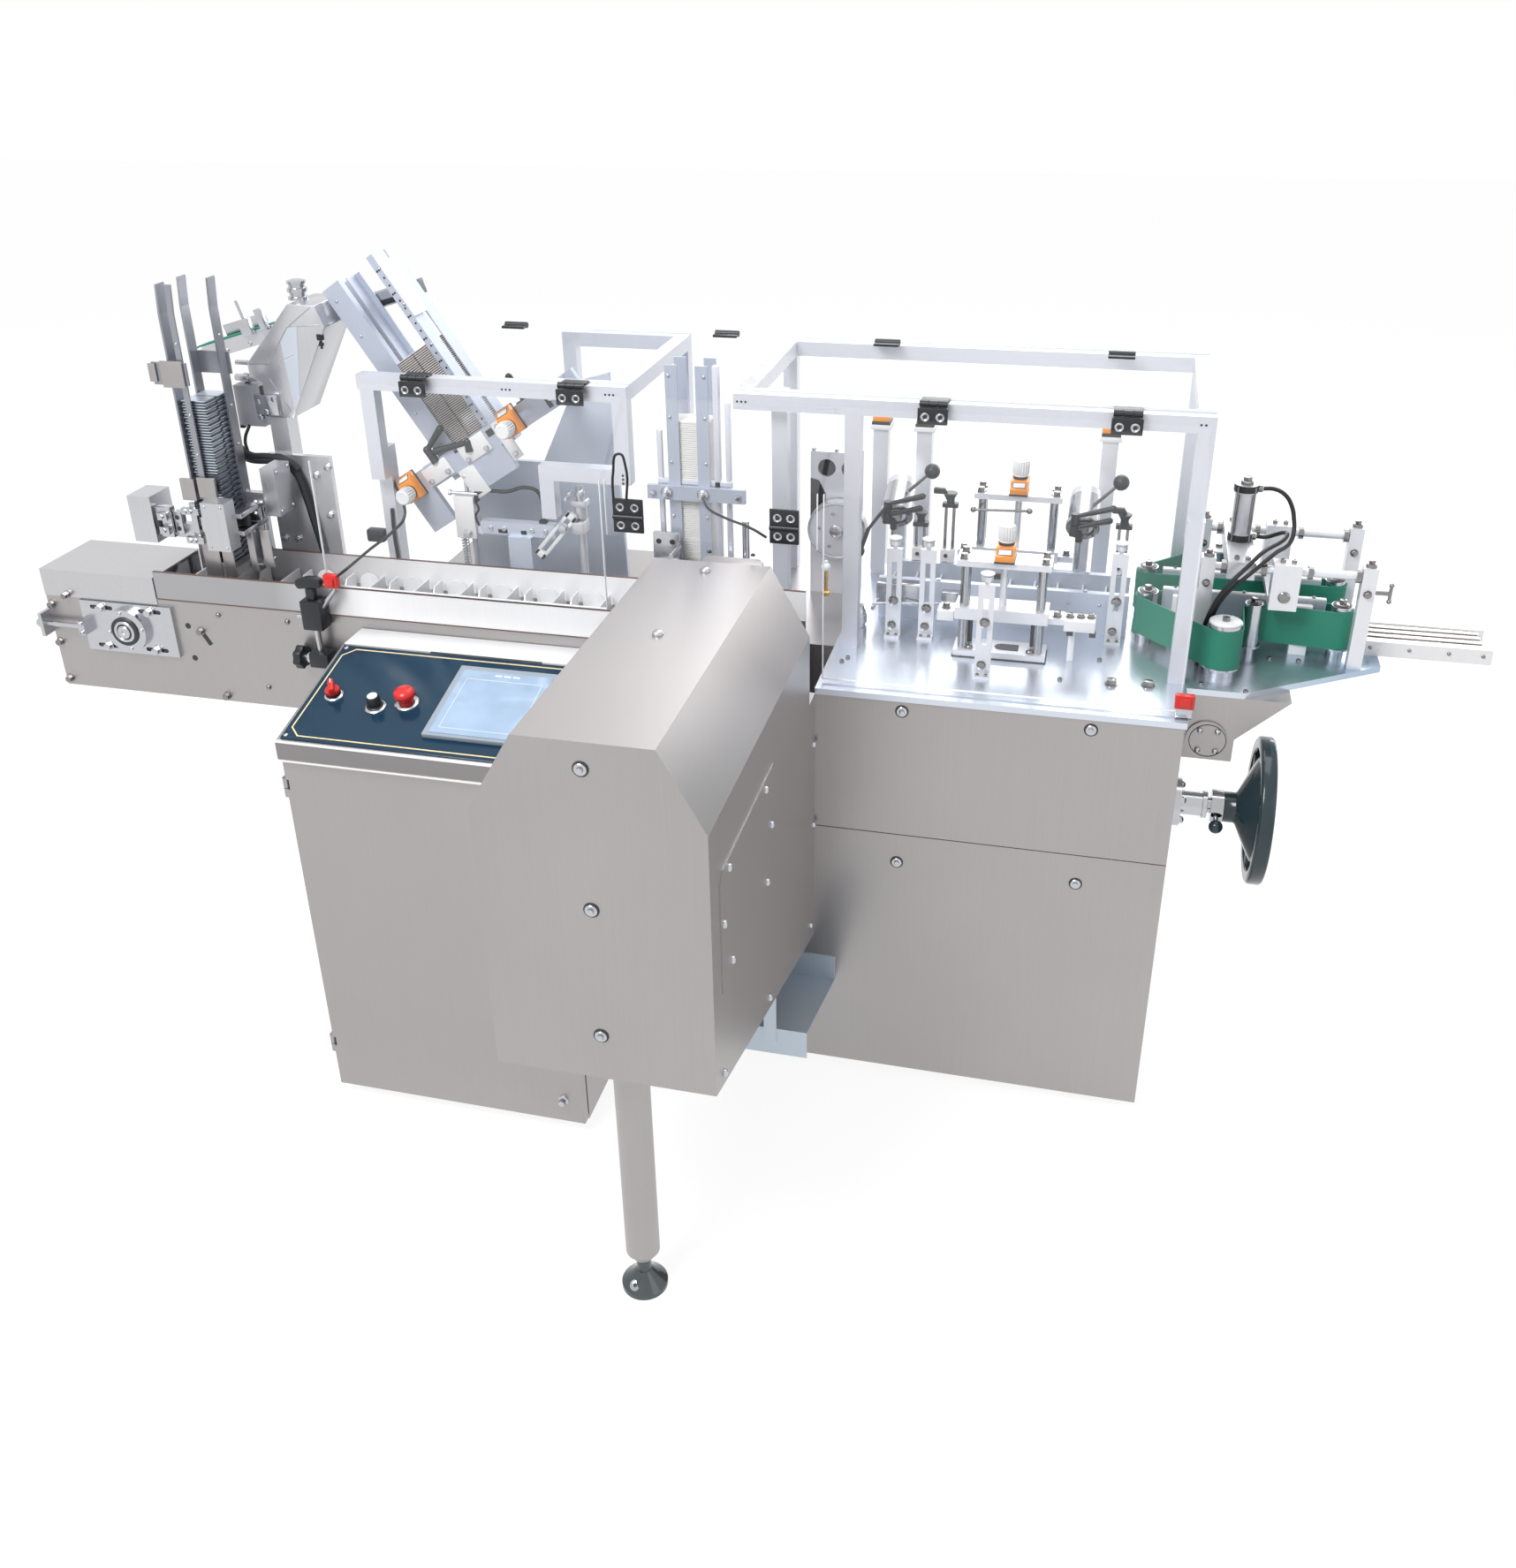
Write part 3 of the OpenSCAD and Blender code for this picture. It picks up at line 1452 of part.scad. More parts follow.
// Door half of a guard hinge: two knuckles and the leaf that holds the sheet
module hinge_door_half(x) {
    translate([x, 0, 0])
        for (k = [-1, 1])
            difference() {
                translate([k * (8 + hinge_w / 2) / 2, 0, 0])
                    union() {
                        translate([0, hinge_y, hinge_z])
                            bar_x(-8, 8, barrel_d);
                        block([-8, hinge_y - 5, rail_z - 22], [8, hinge_y + 2, hinge_z]);
                    }
                translate([0, hinge_y, hinge_z])
                    bar_x(-hinge_w, hinge_w, pin_d + 2 * run_gap);
            }
}

module guard_hinges() {
    color("dimgray")
        for (x = concat(left_hinges, right_hinges))
            hinge_rail_half(x);
}

module guard_door(span, low, hinges) {
    along_x(span[0], span[1])
        bent_sheet(low);
    for (x = hinges)
        hinge_door_half(x);
}

module left_guard_door() {
    color("lightcyan", 0.4)
        guard_door(left_door_x, left_door_low, left_hinges);
}

module right_guard_door() {
    color("lightcyan", 0.4)
        guard_door(right_door_x, right_door_low, right_hinges);
}

// Origin: centre of the main cabinet's footprint, on the floor
module placed() {
    translate([-cab_w / 2, -cab_d / 2, 0])
        children();
}

placed() plinth();
placed() main_cabinet();
placed() cover_panels();
placed() deck_plate();
placed() left_base();
placed() drive_box();
placed() bearing_housing();
placed() handwheel();
placed() handwheel_shaft();
placed() loader_housing();
placed() support_leg();
placed() levelling_foot();
placed() reject_tray();
placed() control_cabinet();
placed() control_door();
placed() control_desk();
placed() control_panel();
placed() touch_screen();
placed() panel_knobs();
placed() stop_button();
placed() infeed_side_plates();
placed() trough_walls();
placed() infeed_end_cover();
placed() take_up_unit();
placed() bucket_chain();
placed() bucket_flights();
placed() product_magazine();
placed() product_stack();
placed() feeder_boxes();
placed() leaflet_feeder();
placed() leaflet_cover();
placed() leaflet_belt();
placed() carton_magazine();
placed() carton_stack();
placed() magazine_bar();
placed() magazine_support();
placed() leaflet_magazine();
placed() leaflet_stack();
placed() carton_conveyor();
placed() tuck_presses();
placed() deck_posts();
placed() position_indicators();
placed() indicator_knobs();
placed() hold_down_drives();
placed() tape_unit();
placed() discharge_belts();
placed() discharge_rollers();
placed() belt_guides();
placed() hold_down_frame();
placed() air_cylinder();
placed() air_hose(hose_top);  // air_hose_top
placed() air_hose(hose_low);  // air_hose_low
placed() discharge_chute();
placed() guard_rails();
placed() guard_frame();
placed() roof_panels();
placed() centre_guard();
placed() guard_hinges();
placed() left_guard_door();
placed() right_guard_door();
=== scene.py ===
import json
import math
import random

import bmesh
import bpy
from mathutils import Matrix, Vector


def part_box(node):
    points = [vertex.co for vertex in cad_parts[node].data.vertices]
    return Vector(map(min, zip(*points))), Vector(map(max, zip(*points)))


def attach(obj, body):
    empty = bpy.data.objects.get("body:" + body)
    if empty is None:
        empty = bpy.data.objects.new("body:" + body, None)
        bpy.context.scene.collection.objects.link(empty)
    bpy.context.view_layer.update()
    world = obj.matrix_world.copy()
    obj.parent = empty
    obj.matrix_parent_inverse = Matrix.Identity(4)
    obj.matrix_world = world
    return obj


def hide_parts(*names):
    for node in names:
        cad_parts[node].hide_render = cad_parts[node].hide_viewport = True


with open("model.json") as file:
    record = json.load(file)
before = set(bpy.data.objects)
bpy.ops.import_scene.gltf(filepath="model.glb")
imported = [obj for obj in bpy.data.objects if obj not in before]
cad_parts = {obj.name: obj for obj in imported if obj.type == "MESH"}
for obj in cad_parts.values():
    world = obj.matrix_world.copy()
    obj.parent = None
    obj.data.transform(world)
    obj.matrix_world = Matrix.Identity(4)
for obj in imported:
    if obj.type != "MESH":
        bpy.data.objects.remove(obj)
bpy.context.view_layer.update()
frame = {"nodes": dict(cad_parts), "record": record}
nodes = frame["nodes"]
scene = bpy.context.scene
dice = random.Random(7)

corner = Vector((-0.333, -0.320, 0.0))  # front left corner of the main cabinet, on the floor
machine = Matrix.Translation(corner) @ Matrix.Scale(0.001, 4)  # millimetres from that corner
print("frame loaded:", len(nodes), "nodes")


def turned(axis, degrees):
    return Matrix.Rotation(math.radians(degrees), 4, axis)


def moved(x, y, z):
    return Matrix.Translation((x, y, z))


def at(x, y, z, *turns):  # a place on the machine, in mm, with turns in order
    place = machine @ moved(x, y, z)
    for turn in turns:
        place = place @ turn
    return place


def around(count, start, reach):  # points on a circle, from a start angle
    angles = [math.radians(start + 360 / count * k) for k in range(count)]
    return [(reach * math.cos(a), reach * math.sin(a)) for a in angles]


faceFront = turned("X", 90)  # local Z points at the operator
faceRight = turned("Y", 90)
faceLeft = turned("Y", -90)
panelFrame = at(-942, -329, 848, turned("X", 14))  # X along the desk, Y up the slope, Z out of it
stackFrame = at(-740, 300, 1215, turned("Y", -33))  # Z up the carton stack
inclineFrame = at(-1444, 350, 1383, turned("Y", -16.5))  # X up the leaflet conveyor


# Shaping tools: each one gives a small bmesh in millimetres

def soften(bm, edges, offset):
    if offset:
        bmesh.ops.bevel(bm, geom=edges, offset=offset, offset_type="OFFSET", segments=2, profile=0.5,
                        affect="EDGES", material=-1)
    return bm


def brick(x0, y0, z0, x1, y1, z1, soft=0.0):
    bm = bmesh.new()
    middle = moved((x0 + x1) / 2, (y0 + y1) / 2, (z0 + z1) / 2)
    bmesh.ops.create_cube(bm, size=1.0, matrix=middle @ Matrix.Diagonal((x1 - x0, y1 - y0, z1 - z0, 1.0)))
    return soften(bm, bm.edges[:], soft)


def plate(outline, thick, soft=0.0):  # outline in XY, drawn out along Z
    bm = bmesh.new()
    face = bm.faces.new([bm.verts.new((x, y, 0.0)) for x, y in outline])
    drawn = bmesh.ops.extrude_face_region(bm, geom=[face])["geom"]
    bmesh.ops.translate(bm, vec=(0, 0, thick), verts=[g for g in drawn if isinstance(g, bmesh.types.BMVert)])
    bmesh.ops.recalc_face_normals(bm, faces=bm.faces[:])
    return soften(bm, bm.edges[:], soft)


def lathe(profile, steps=32):  # (radius, height) pairs spun about Z
    bm = bmesh.new()
    line = [bm.verts.new((r, 0.0, z)) for r, z in profile]
    edges = [bm.edges.new(pair) for pair in zip(line, line[1:])]
    bmesh.ops.spin(bm, geom=line + edges, axis=(0, 0, 1), cent=(0, 0, 0), angle=math.tau, steps=steps,
                   use_merge=True)
    bmesh.ops.remove_doubles(bm, verts=bm.verts[:], dist=0.001)
    bmesh.ops.recalc_face_normals(bm, faces=bm.faces[:])
    return bm


def disc(r, tall, steps):
    return lathe([(0, 0), (r, 0), (r, tall), (0, tall)], steps)


def cone(bm, steps, low, high, tall, place):
    bmesh.ops.create_cone(bm, cap_ends=True, segments=steps, radius1=low, radius2=high, depth=tall, matrix=place)
    return bm


def hexHead(across, tall, washer=0.0):  # bolt head on its washer
    r = across / 2 / math.cos(math.pi / 6)
    bm = cone(bmesh.new(), 6, r, r, tall, moved(0, 0, tall / 2 + (1.5 if washer else 0)))
    soften(bm, [e for e in bm.edges if all(v.co.z > tall * 0.9 for v in e.verts)], across * 0.07)
    if washer:
        cone(bm, 24, washer / 2, washer / 2 - 0.4, 1.6, moved(0, 0, 0.8))
    return bm


def domeHead(wide, tall):
    r = wide / 2
    return lathe([(r, 0), (r, tall * 0.3), (r * 0.86, tall * 0.7), (r * 0.5, tall * 0.95), (0, tall)], 20)


def socketHead(wide, tall):  # round head with its key hole
    r = wide / 2
    return lathe([(r, 0), (r, tall - 0.6), (r - 0.6, tall), (r * 0.5, tall), (r * 0.48, tall * 0.45),
                  (0, tall * 0.45)], 18)


def rod(wide, tall, soft=0.6, steps=24):
    r = wide / 2
    return lathe([(0, 0), (r - soft, 0), (r, soft), (r, tall - soft), (r - soft, tall), (0, tall)], steps)


def starGrip(wide, tall, lobes):  # lobed clamping knob
    bm = cone(bmesh.new(), lobes * 6, wide / 2, wide / 2, tall, moved(0, 0, tall / 2))
    for v in bm.verts:
        a = math.atan2(v.co.y, v.co.x)
        grow = 1.0 - 0.16 * (0.5 - 0.5 * math.cos(lobes * a))
        v.co.x *= grow
        v.co.y *= grow
    return soften(bm, [e for e in bm.edges if abs(e.verts[0].co.z - e.verts[1].co.z) < 0.01], tall * 0.12)


def coil(wide, wire, turns, tall):  # spring standing on Z
    bm = bmesh.new()
    ring = bmesh.ops.create_circle(bm, segments=6, radius=wire / 2,
                                   matrix=moved(wide / 2, 0, 0) @ turned("X", 90))["verts"]
    edges = list({e for v in ring for e in v.link_edges})
    steps = int(turns * 14)
    bmesh.ops.spin(bm, geom=ring + edges, axis=(0, 0, 1), cent=(0, 0, 0), angle=math.tau * turns, steps=steps,
                   dvec=(0, 0, tall / steps))
    bmesh.ops.recalc_face_normals(bm, faces=bm.faces[:])
    return bm


def roundCurve(name, points, wide, rings, smooth):  # round lead through the points
    curve = bpy.data.curves.new(name, "CURVE")
    curve.dimensions = "3D"
    curve.bevel_depth = wide / 2
    curve.bevel_resolution = rings
    curve.use_fill_caps = True
    curve.resolution_u = smooth
    spline = curve.splines.new("BEZIER")
    spline.bezier_points.add(len(points) - 1)
    for knot, point in zip(spline.bezier_points, points):
        knot.co = point
        knot.handle_left_type = knot.handle_right_type = "AUTO"
    obj = bpy.data.objects.new(name, curve)
    scene.collection.objects.link(obj)
    bpy.context.view_layer.update()
    return obj


def tube(points, wide):  # the same as a mesh
    holder = roundCurve("lead", points, wide, 2, 6)
    curve = holder.data
    baked = bpy.data.meshes.new_from_object(holder.evaluated_get(bpy.context.evaluated_depsgraph_get()))
    bm = bmesh.new()
    bm.from_mesh(baked)
    bpy.data.objects.remove(holder)
    bpy.data.curves.remove(curve)
    bpy.data.meshes.remove(baked)
    return bm


def bar(start, end, wide, wideEnd=None, steps=16):  # round bar from point to point
    start, end = Vector(start), Vector(end)
    along = end - start
    place = Matrix.Translation((start + end) / 2) @ along.to_track_quat("Z", "Y").to_matrix().to_4x4()
    return cone(bmesh.new(), steps, wide / 2, (wideEnd or wide) / 2, along.length, place)


def ball(place, wide):
    bm = bmesh.new()
    bmesh.ops.create_uvsphere(bm, u_segments=18, v_segments=12, radius=wide / 2, matrix=Matrix.Translation(place))
    return bm


class Piece:  # gathers small shapes into one object
    def __init__(self, name, finish, body="root"):
        self.name = name
        self.finish = finish
        self.body = body
        self.bm = bmesh.new()

    def add(self, small, place=machine):
        small.transform(place)
        scratch = bpy.data.meshes.new("scratch")
        small.to_mesh(scratch)
        small.free()
        self.bm.from_mesh(scratch)
        bpy.data.meshes.remove(scratch)
        return self

    def bricks(self, rows, place=machine):  # rows of two corners and an edge radius
        for row in rows:
            self.add(brick(*row), place)
        return self

    def spread(self, spots, turn, maker, *sizes):  # one small shape at many spots
        for spot in spots:
            self.add(maker(*sizes), at(*spot, turn))
        return self

    def done(self, *standsFor):
        mesh = bpy.data.meshes.new(self.name)
        bmesh.ops.recalc_face_normals(self.bm, faces=self.bm.faces[:])
        self.bm.to_mesh(mesh)
        self.bm.free()
        mesh.polygons.foreach_set("use_smooth", [True] * len(mesh.polygons))
        mesh.set_sharp_from_angle(angle=math.radians(40))
        obj = bpy.data.objects.new(self.name, mesh)
        scene.collection.objects.link(obj)
        mesh.materials.append(finishes[self.finish])
        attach(obj, self.body)
        if standsFor:
            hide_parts(*standsFor)
        print("piece", self.name, len(mesh.polygons), "faces")


def allDone(*pieces):
    for piece in pieces:
        piece.done()


# Finishes

def addNode(tree, kind, **values):
    node = tree.nodes.new(kind)
    for name, value in values.items():
        node.inputs[name].default_value = value
    return node


def combine(tree, operation, *terms, kind="ShaderNodeMath"):  # math node on sockets and numbers
    node = tree.nodes.new(kind)
    node.operation = operation
    for socket, term in zip(node.inputs, terms):
        if isinstance(term, bpy.types.NodeSocket):
            tree.links.new(term, socket)
        else:
            socket.default_value = term
    return node.outputs[0]


def toned(tree, color, gain):
    node = tree.nodes.new("ShaderNodeVectorMath")
    node.operation = "SCALE"
    tree.links.new(color, node.inputs[0])
    tree.links.new(gain, node.inputs["Scale"])
    return node.outputs[0]


def noise(tree, place, **values):
    node = addNode(tree, "ShaderNodeTexNoise", **values)
    tree.links.new(place, node.inputs["Vector"])
    return node


def newGroup(name, **values):  # values by socket name, with what each skin gives back
    group = bpy.data.node_groups.new(name, "ShaderNodeTree")
    for label, value in values.items():
        kind = {4: "Color", 3: "Vector", 1: "Float"}[len(value)]
        socket = group.interface.new_socket(name=label, in_out="INPUT", socket_type="NodeSocket" + kind)
        socket.default_value = value if len(value) > 1 else value[0]
    for label, kind in (("Color", "Color"), ("Roughness", "Float"), ("Height", "Float")):
        group.interface.new_socket(name=label, in_out="OUTPUT", socket_type="NodeSocket" + kind)
    given = group.nodes.new("NodeGroupInput").outputs
    place = group.nodes.new("ShaderNodeTexCoord").outputs["Object"]
    return group, given, place, group.nodes.new("NodeGroupOutput").inputs


def brushedGroup():  # fine streaks over a slow cloud of tone, in object space
    group, given, place, out = newGroup("brushedGrain", Color=(0.6, 0.6, 0.6, 1), Streak=(4, 4, 400),
                                        Contrast=(0.08,), Cloud=(0.1,), Roughness=(0.35,))
    stretched = combine(group, "MULTIPLY", place, given["Streak"], kind="ShaderNodeVectorMath")
    grain = noise(group, stretched, Scale=1.0, Detail=3.0, Roughness=0.6).outputs["Fac"]
    cloud = noise(group, place, Scale=2.3, Detail=2.0).outputs["Fac"]
    streaks = combine(group, "MULTIPLY", combine(group, "SUBTRACT", grain, 0.5), given["Contrast"])
    drift = combine(group, "MULTIPLY", combine(group, "SUBTRACT", cloud, 0.5), given["Cloud"])
    gain = combine(group, "ADD", combine(group, "ADD", streaks, drift), 1.0)
    group.links.new(toned(group, given["Color"], gain), out["Color"])
    group.links.new(combine(group, "ADD", given["Roughness"], streaks), out["Roughness"])
    group.links.new(grain, out["Height"])
    return group


def speckleGroup():  # moulded or cast skin: fine pits and a faint drift of colour
    group, given, place, out = newGroup("mouldedSkin", Color=(0.1, 0.1, 0.1, 1), Grain=(600.0,), Drift=(0.1,),
                                        Roughness=(0.45,))
    pits = noise(group, place, Detail=2.0)
    group.links.new(given["Grain"], pits.inputs["Scale"])
    drift = noise(group, place, Scale=14.0, Detail=3.0).outputs["Fac"]
    gain = combine(group, "MULTIPLY_ADD", combine(group, "SUBTRACT", drift, 0.5), given["Drift"], 1.0)
    group.links.new(toned(group, given["Color"], gain), out["Color"])
    group.links.new(combine(group, "MULTIPLY", given["Roughness"], gain), out["Roughness"])
    group.links.new(pits.outputs["Fac"], out["Height"])
    return group


grainGroup = brushedGroup()
skinGroup = speckleGroup()
finishes = {}


def surface(name, group, values, bump, depth, **principled):
    material = bpy.data.materials.new(name)
    material.use_nodes = True
    tree = material.node_tree
    shader = tree.nodes["Principled BSDF"]
    skin = tree.nodes.new("ShaderNodeGroup")
    skin.node_tree = group
    for label, value in values.items():
        skin.inputs[label].default_value = value
    tree.links.new(skin.outputs["Color"], shader.inputs["Base Color"])
    tree.links.new(skin.outputs["Roughness"], shader.inputs["Roughness"])
    if bump:
        relief = addNode(tree, "ShaderNodeBump", Strength=bump, Distance=depth)
        tree.links.new(skin.outputs["Height"], relief.inputs["Height"])
        tree.links.new(relief.outputs["Normal"], shader.inputs["Normal"])
    for label, value in principled.items():
        shader.inputs[label].default_value = value
    finishes[name] = material


def metal(name, color, roughness, streak, contrast, cloud, bump=0.05, metallic=1.0):
    surface(name, grainGroup, {"Color": (*color, 1), "Streak": streak, "Contrast": contrast, "Cloud": cloud,
                               "Roughness": roughness}, bump, 0.0004, Metallic=metallic)


def moulded(name, color, roughness, grain=600.0, drift=0.12, bump=0.08, **more):
    surface(name, skinGroup, {"Color": (*color, 1), "Grain": grain, "Drift": drift, "Roughness": roughness},
            bump, 0.0003, **more)


def fadeAlong(name, color, start, stop):  # another tone from start on, along the machine: painted shade on the trough walls, painted reflection on the deck
    tree = finishes[name].node_tree
    place = tree.nodes.new("ShaderNodeTexCoord")
    axes = tree.nodes.new("ShaderNodeSeparateXYZ")
    tree.links.new(place.outputs["Object"], axes.inputs[0])
    level = addNode(tree, "ShaderNodeMapRange", **{"From Min": start, "From Max": stop})
    tree.links.new(axes.outputs["X"], level.inputs["Value"])
    mix = tree.nodes.new("ShaderNodeMix")
    mix.data_type = "RGBA"
    mix.inputs[6].default_value = (*color, 1)
    base = tree.nodes["Principled BSDF"].inputs["Base Color"]
    plain = base.links[0].from_socket
    tree.links.new(level.outputs["Result"], mix.inputs[0])
    tree.links.new(plain, mix.inputs[7])
    tree.links.new(mix.outputs[2], base)


rolled = (380, 380, 5)  # streaks of the cabinet sheet
bent = (300, 300, 6)  # of thin bent sheet
drawn = (220, 220, 10)  # of aluminium profile
cut = (90, 90, 90)  # of turned and milled steel
fine = (120, 120, 120)
metal("stainless_sheet", (0.41, 0.392, 0.392), 0.36, rolled, 0.10, 0.16, 0.05, 0.85)
metal("cool_stainless", (0.34, 0.35, 0.385), 0.34, rolled, 0.12, 0.20, 0.05, 0.85)
metal("bright_stainless", (0.56, 0.565, 0.59), 0.30, rolled, 0.12, 0.20, 0.05, 0.85)
metal("shaded_sheet", (0.27, 0.26, 0.262), 0.36, rolled, 0.10, 0.16, 0.05, 0.85)
metal("polished_deck", (0.64, 0.69, 0.77), 0.26, (260, 6, 6), 0.05, 0.24, 0.02, 0.85)
metal("pale_sheet", (0.78, 0.78, 0.79), 0.50, bent, 0.06, 0.08, 0.05, 0.30)
metal("cover_sheet", (0.54, 0.54, 0.555), 0.28, bent, 0.06, 0.10, 0.05, 0.9)
metal("tray_sheet", (0.56, 0.64, 0.72), 0.40, bent, 0.06, 0.10, 0.05, 0.45)
metal("trough_sheet", (0.90, 0.90, 0.91), 0.42, bent, 0.06, 0.08, 0.05, 0.20)
# near-white sheet: the chute strips, and the painted highlights along the desk edges
metal("bright_sheet", (0.90, 0.89, 0.88), 0.24, (200, 200, 6), 0.04, 0.12, 0.02, 0.75)
metal("pale_aluminium", (0.66, 0.68, 0.74), 0.38, drawn, 0.06, 0.06, 0.05, 0.5)
metal("white_aluminium", (0.74, 0.75, 0.79), 0.32, drawn, 0.06, 0.06, 0.05, 0.45)
metal("light_aluminium", (0.58, 0.63, 0.72), 0.48, drawn, 0.08, 0.10, 0.05, 0.6)
metal("blue_aluminium", (0.47, 0.51, 0.60), 0.55, drawn, 0.08, 0.10, 0.05, 0.5)
metal("machined_steel", (0.52, 0.53, 0.56), 0.22, cut, 0.12, 0.10, 0.03)
metal("foot_steel", (0.10, 0.115, 0.12), 0.14, cut, 0.08, 0.10, 0.03, 0.9)
metal("bolt_steel", (0.27, 0.26, 0.26), 0.20, cut, 0.12, 0.10, 0.03)
metal("rod_chrome", (0.44, 0.45, 0.47), 0.10, cut, 0.06, 0.06, 0.02)
metal("satin_steel", (0.58, 0.59, 0.62), 0.42, (120, 120, 8), 0.06, 0.08, 0.03, 0.8)
metal("edge_trim", (0.13, 0.08, 0.065), 0.5, (200, 200, 200), 0.1, 0.1, 0.03, 0.2)
metal("blister_foil", (0.74, 0.80, 0.88), 0.35, fine, 0.25, 0.30, 0.05)
metal("brass", (0.72, 0.45, 0.14), 0.28, fine, 0.10, 0.15, 0.03)
moulded("dark_steel", (0.025, 0.027, 0.03), 0.42)
moulded("dark_plastic", (0.012, 0.016, 0.02), 0.40)
moulded("red_plastic", (0.62, 0.020, 0.016), 0.25)
moulded("orange_plastic", (0.86, 0.28, 0.010), 0.28)
# white plastic parts; also the painted light laid on the desk top
moulded("white_plastic", (0.78, 0.79, 0.80), 0.32)
moulded("screen_plastic", (0.31, 0.36, 0.42), 0.30)
moulded("display", (0.34, 0.46, 0.62), 0.10, 30.0, 0.45, 0.0)
moulded("blue_panel", (0.008, 0.036, 0.070), 0.14, 600.0, 0.12, 0.02, **{"Specular IOR Level": 0.3})
moulded("gold_line", (0.84, 0.68, 0.38), 0.35)
moulded("green_belt", (0.016, 0.200, 0.130), 0.60, 900.0)
moulded("black_rubber", (0.008, 0.008, 0.010), 0.45)
moulded("wheel_gloss", (0.016, 0.034, 0.042), 0.16, 500.0, 0.12, 0.03)
moulded("carton_board", (0.17, 0.14, 0.135), 0.75, 300.0, 0.5)
moulded("leaflet_paper", (0.80, 0.79, 0.77), 0.80, 400.0, 0.2)
moulded("blister_pack", (0.045, 0.055, 0.075), 0.25, 300.0, 0.5)
moulded("acrylic_edge", (0.82, 0.84, 0.87), 0.25)
moulded("clear_acrylic", (0.93, 0.95, 0.96), 0.04, 40.0, 0.04, 0.0, Alpha=0.03)
# painted shade: the trough walls turn from their near-white tone to grey towards their left end
fadeAlong("trough_sheet", (0.36, 0.355, 0.37), -1.46, -1.24)
# painted reflection: the polished deck turns a darker blue towards its right end
fadeAlong("polished_deck", (0.42, 0.53, 0.64), 0.64, 0.42)

toneNodes = {  # nodes that wear a tone other than their slot's own
    "trough_sheet": ("trough_walls",), "tray_sheet": ("reject_tray",), "cover_sheet": ("infeed_end_cover",),
    "bright_stainless": ("feeder_boxes", "leaflet_feeder"), "cool_stainless": ("product_magazine",),
    "white_aluminium": ("tuck_presses", "deck_posts", "hold_down_drives", "tape_unit", "hold_down_frame"),
    "light_aluminium": ("magazine_support", "carton_conveyor", "belt_guides"),
    "satin_steel": ("air_cylinder",), "rod_chrome": ("handwheel_shaft",), "foot_steel": ("levelling_foot",)}
finer = {node: tone for tone, wearers in toneNodes.items() for node in wearers}
for part in frame["record"]["subparts"]:
    slots = nodes[part["node"]].data.materials
    slots.clear()
    slots.append(finishes[finer.get(part["node"], part["material_slot"])])
print("finishes set:", len(finishes))


# Air hoses, along the same points as the solids

hose = {"diameter": 0.008, "sides": 12}
hoseTop = [(779, 407.5, 1201), (800, 407.5, 1201), (820, 403, 1192), (834, 396, 1172), (840, 388, 1150),
           (842, 378, 1130), (838, 364, 1116), (828, 346, 1110), (815, 326, 1109), (803, 306, 1107),
           (790, 288, 1101), (774, 273, 1090), (755, 265, 1073), (735, 262, 1052), (719, 260, 1028),
           (709, 260, 1002), (704, 261, 974), (702, 262, 946), (702, 262, 920), (702, 262, 898)]
hoseLow = [(779, 407.5, 1105), (797, 407.5, 1105), (814, 401, 1114), (826, 389, 1123), (830, 372, 1127),
           (826, 355, 1124), (815, 339, 1120), (802, 322, 1118), (789, 304, 1116), (777, 286, 1112),
           (764, 271, 1102), (748, 259, 1087), (731, 251, 1068), (716, 247, 1045), (705, 246, 1020),
           (697, 246, 993), (692, 247, 965), (690, 248, 938), (690, 248, 917), (690, 248, 898)]


def airHose(name, route, node):
    points = [machine @ Vector(p) for p in route]
    obj = roundCurve(name, points, hose["diameter"], hose["sides"] // 4, 5)
    obj.data.materials.append(finishes["black_rubber"])
    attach(obj, "root")
    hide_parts(node)
    bpy.context.view_layer.update()


airHose("air_hose_upper", hoseTop, "air_hose_top")
airHose("air_hose_lower", hoseLow, "air_hose_low")


# Cabinets, loader housing and desk

def rimmed(bm, rim, deep, soft):  # sinks a field into the top face
    top = [f for f in bm.faces if f.normal.z > 0.9]
    bmesh.ops.inset_region(bm, faces=top, thickness=rim)
    bmesh.ops.translate(bm, vec=(0, 0, -deep), verts=list({v for f in top for v in f.verts}))
    return soften(bm, [e for e in bm.edges if e.is_manifold and e.calc_face_angle(0) > 1.0], soft)


def outlineStrip(outline, wide, tall):  # closed line of some width that follows an outline
    bm = bmesh.new()
    face = bm.faces.new([bm.verts.new((x, y, 0.0)) for x, y in outline])
    face.normal_update()
    bmesh.ops.inset_region(bm, faces=[face], thickness=wide, use_boundary=True, use_even_offset=True)
    bmesh.ops.delete(bm, geom=[face], context="FACES_ONLY")
    bmesh.ops.recalc_face_normals(bm, faces=bm.faces[:])
    bmesh.ops.solidify(bm, geom=bm.faces[:], thickness=tall)
    bmesh.ops.recalc_face_normals(bm, faces=bm.faces[:])
    return bm


def cutCorners(x0, y0, x1, y1, cut):  # rectangle with slanted corners
    return [(x0 + cut, y0), (x1 - cut, y0), (x1, y0 + cut), (x1, y1 - cut), (x1 - cut, y1), (x0 + cut, y1),
            (x0, y1 - cut), (x0, y0 + cut)]


sheets = {
    "panelBolts": [(164, 865), (506, 865), (164, 534), (506, 534)],
    "housingFront": [(-182, 1110), (-182, 872), (-182, 638)],
    "housingTop": [(-180, -371, 1153), (-178, -96, 1153)],
    "accessPanel": [(-407, 910), (-369, 821), (-404, 729), (-642, 912), (-677, 834), (-635, 738)],
    "housingSide": [(-14, 784), (-14, 606), (-38, 384), (-388, 474), (-692, 562)],
    "driveCover": [(703, 775), (703, 816), (735, 775), (735, 816)],
    "washer": 25, "dome": 15, "lock": (-444, 83),
}


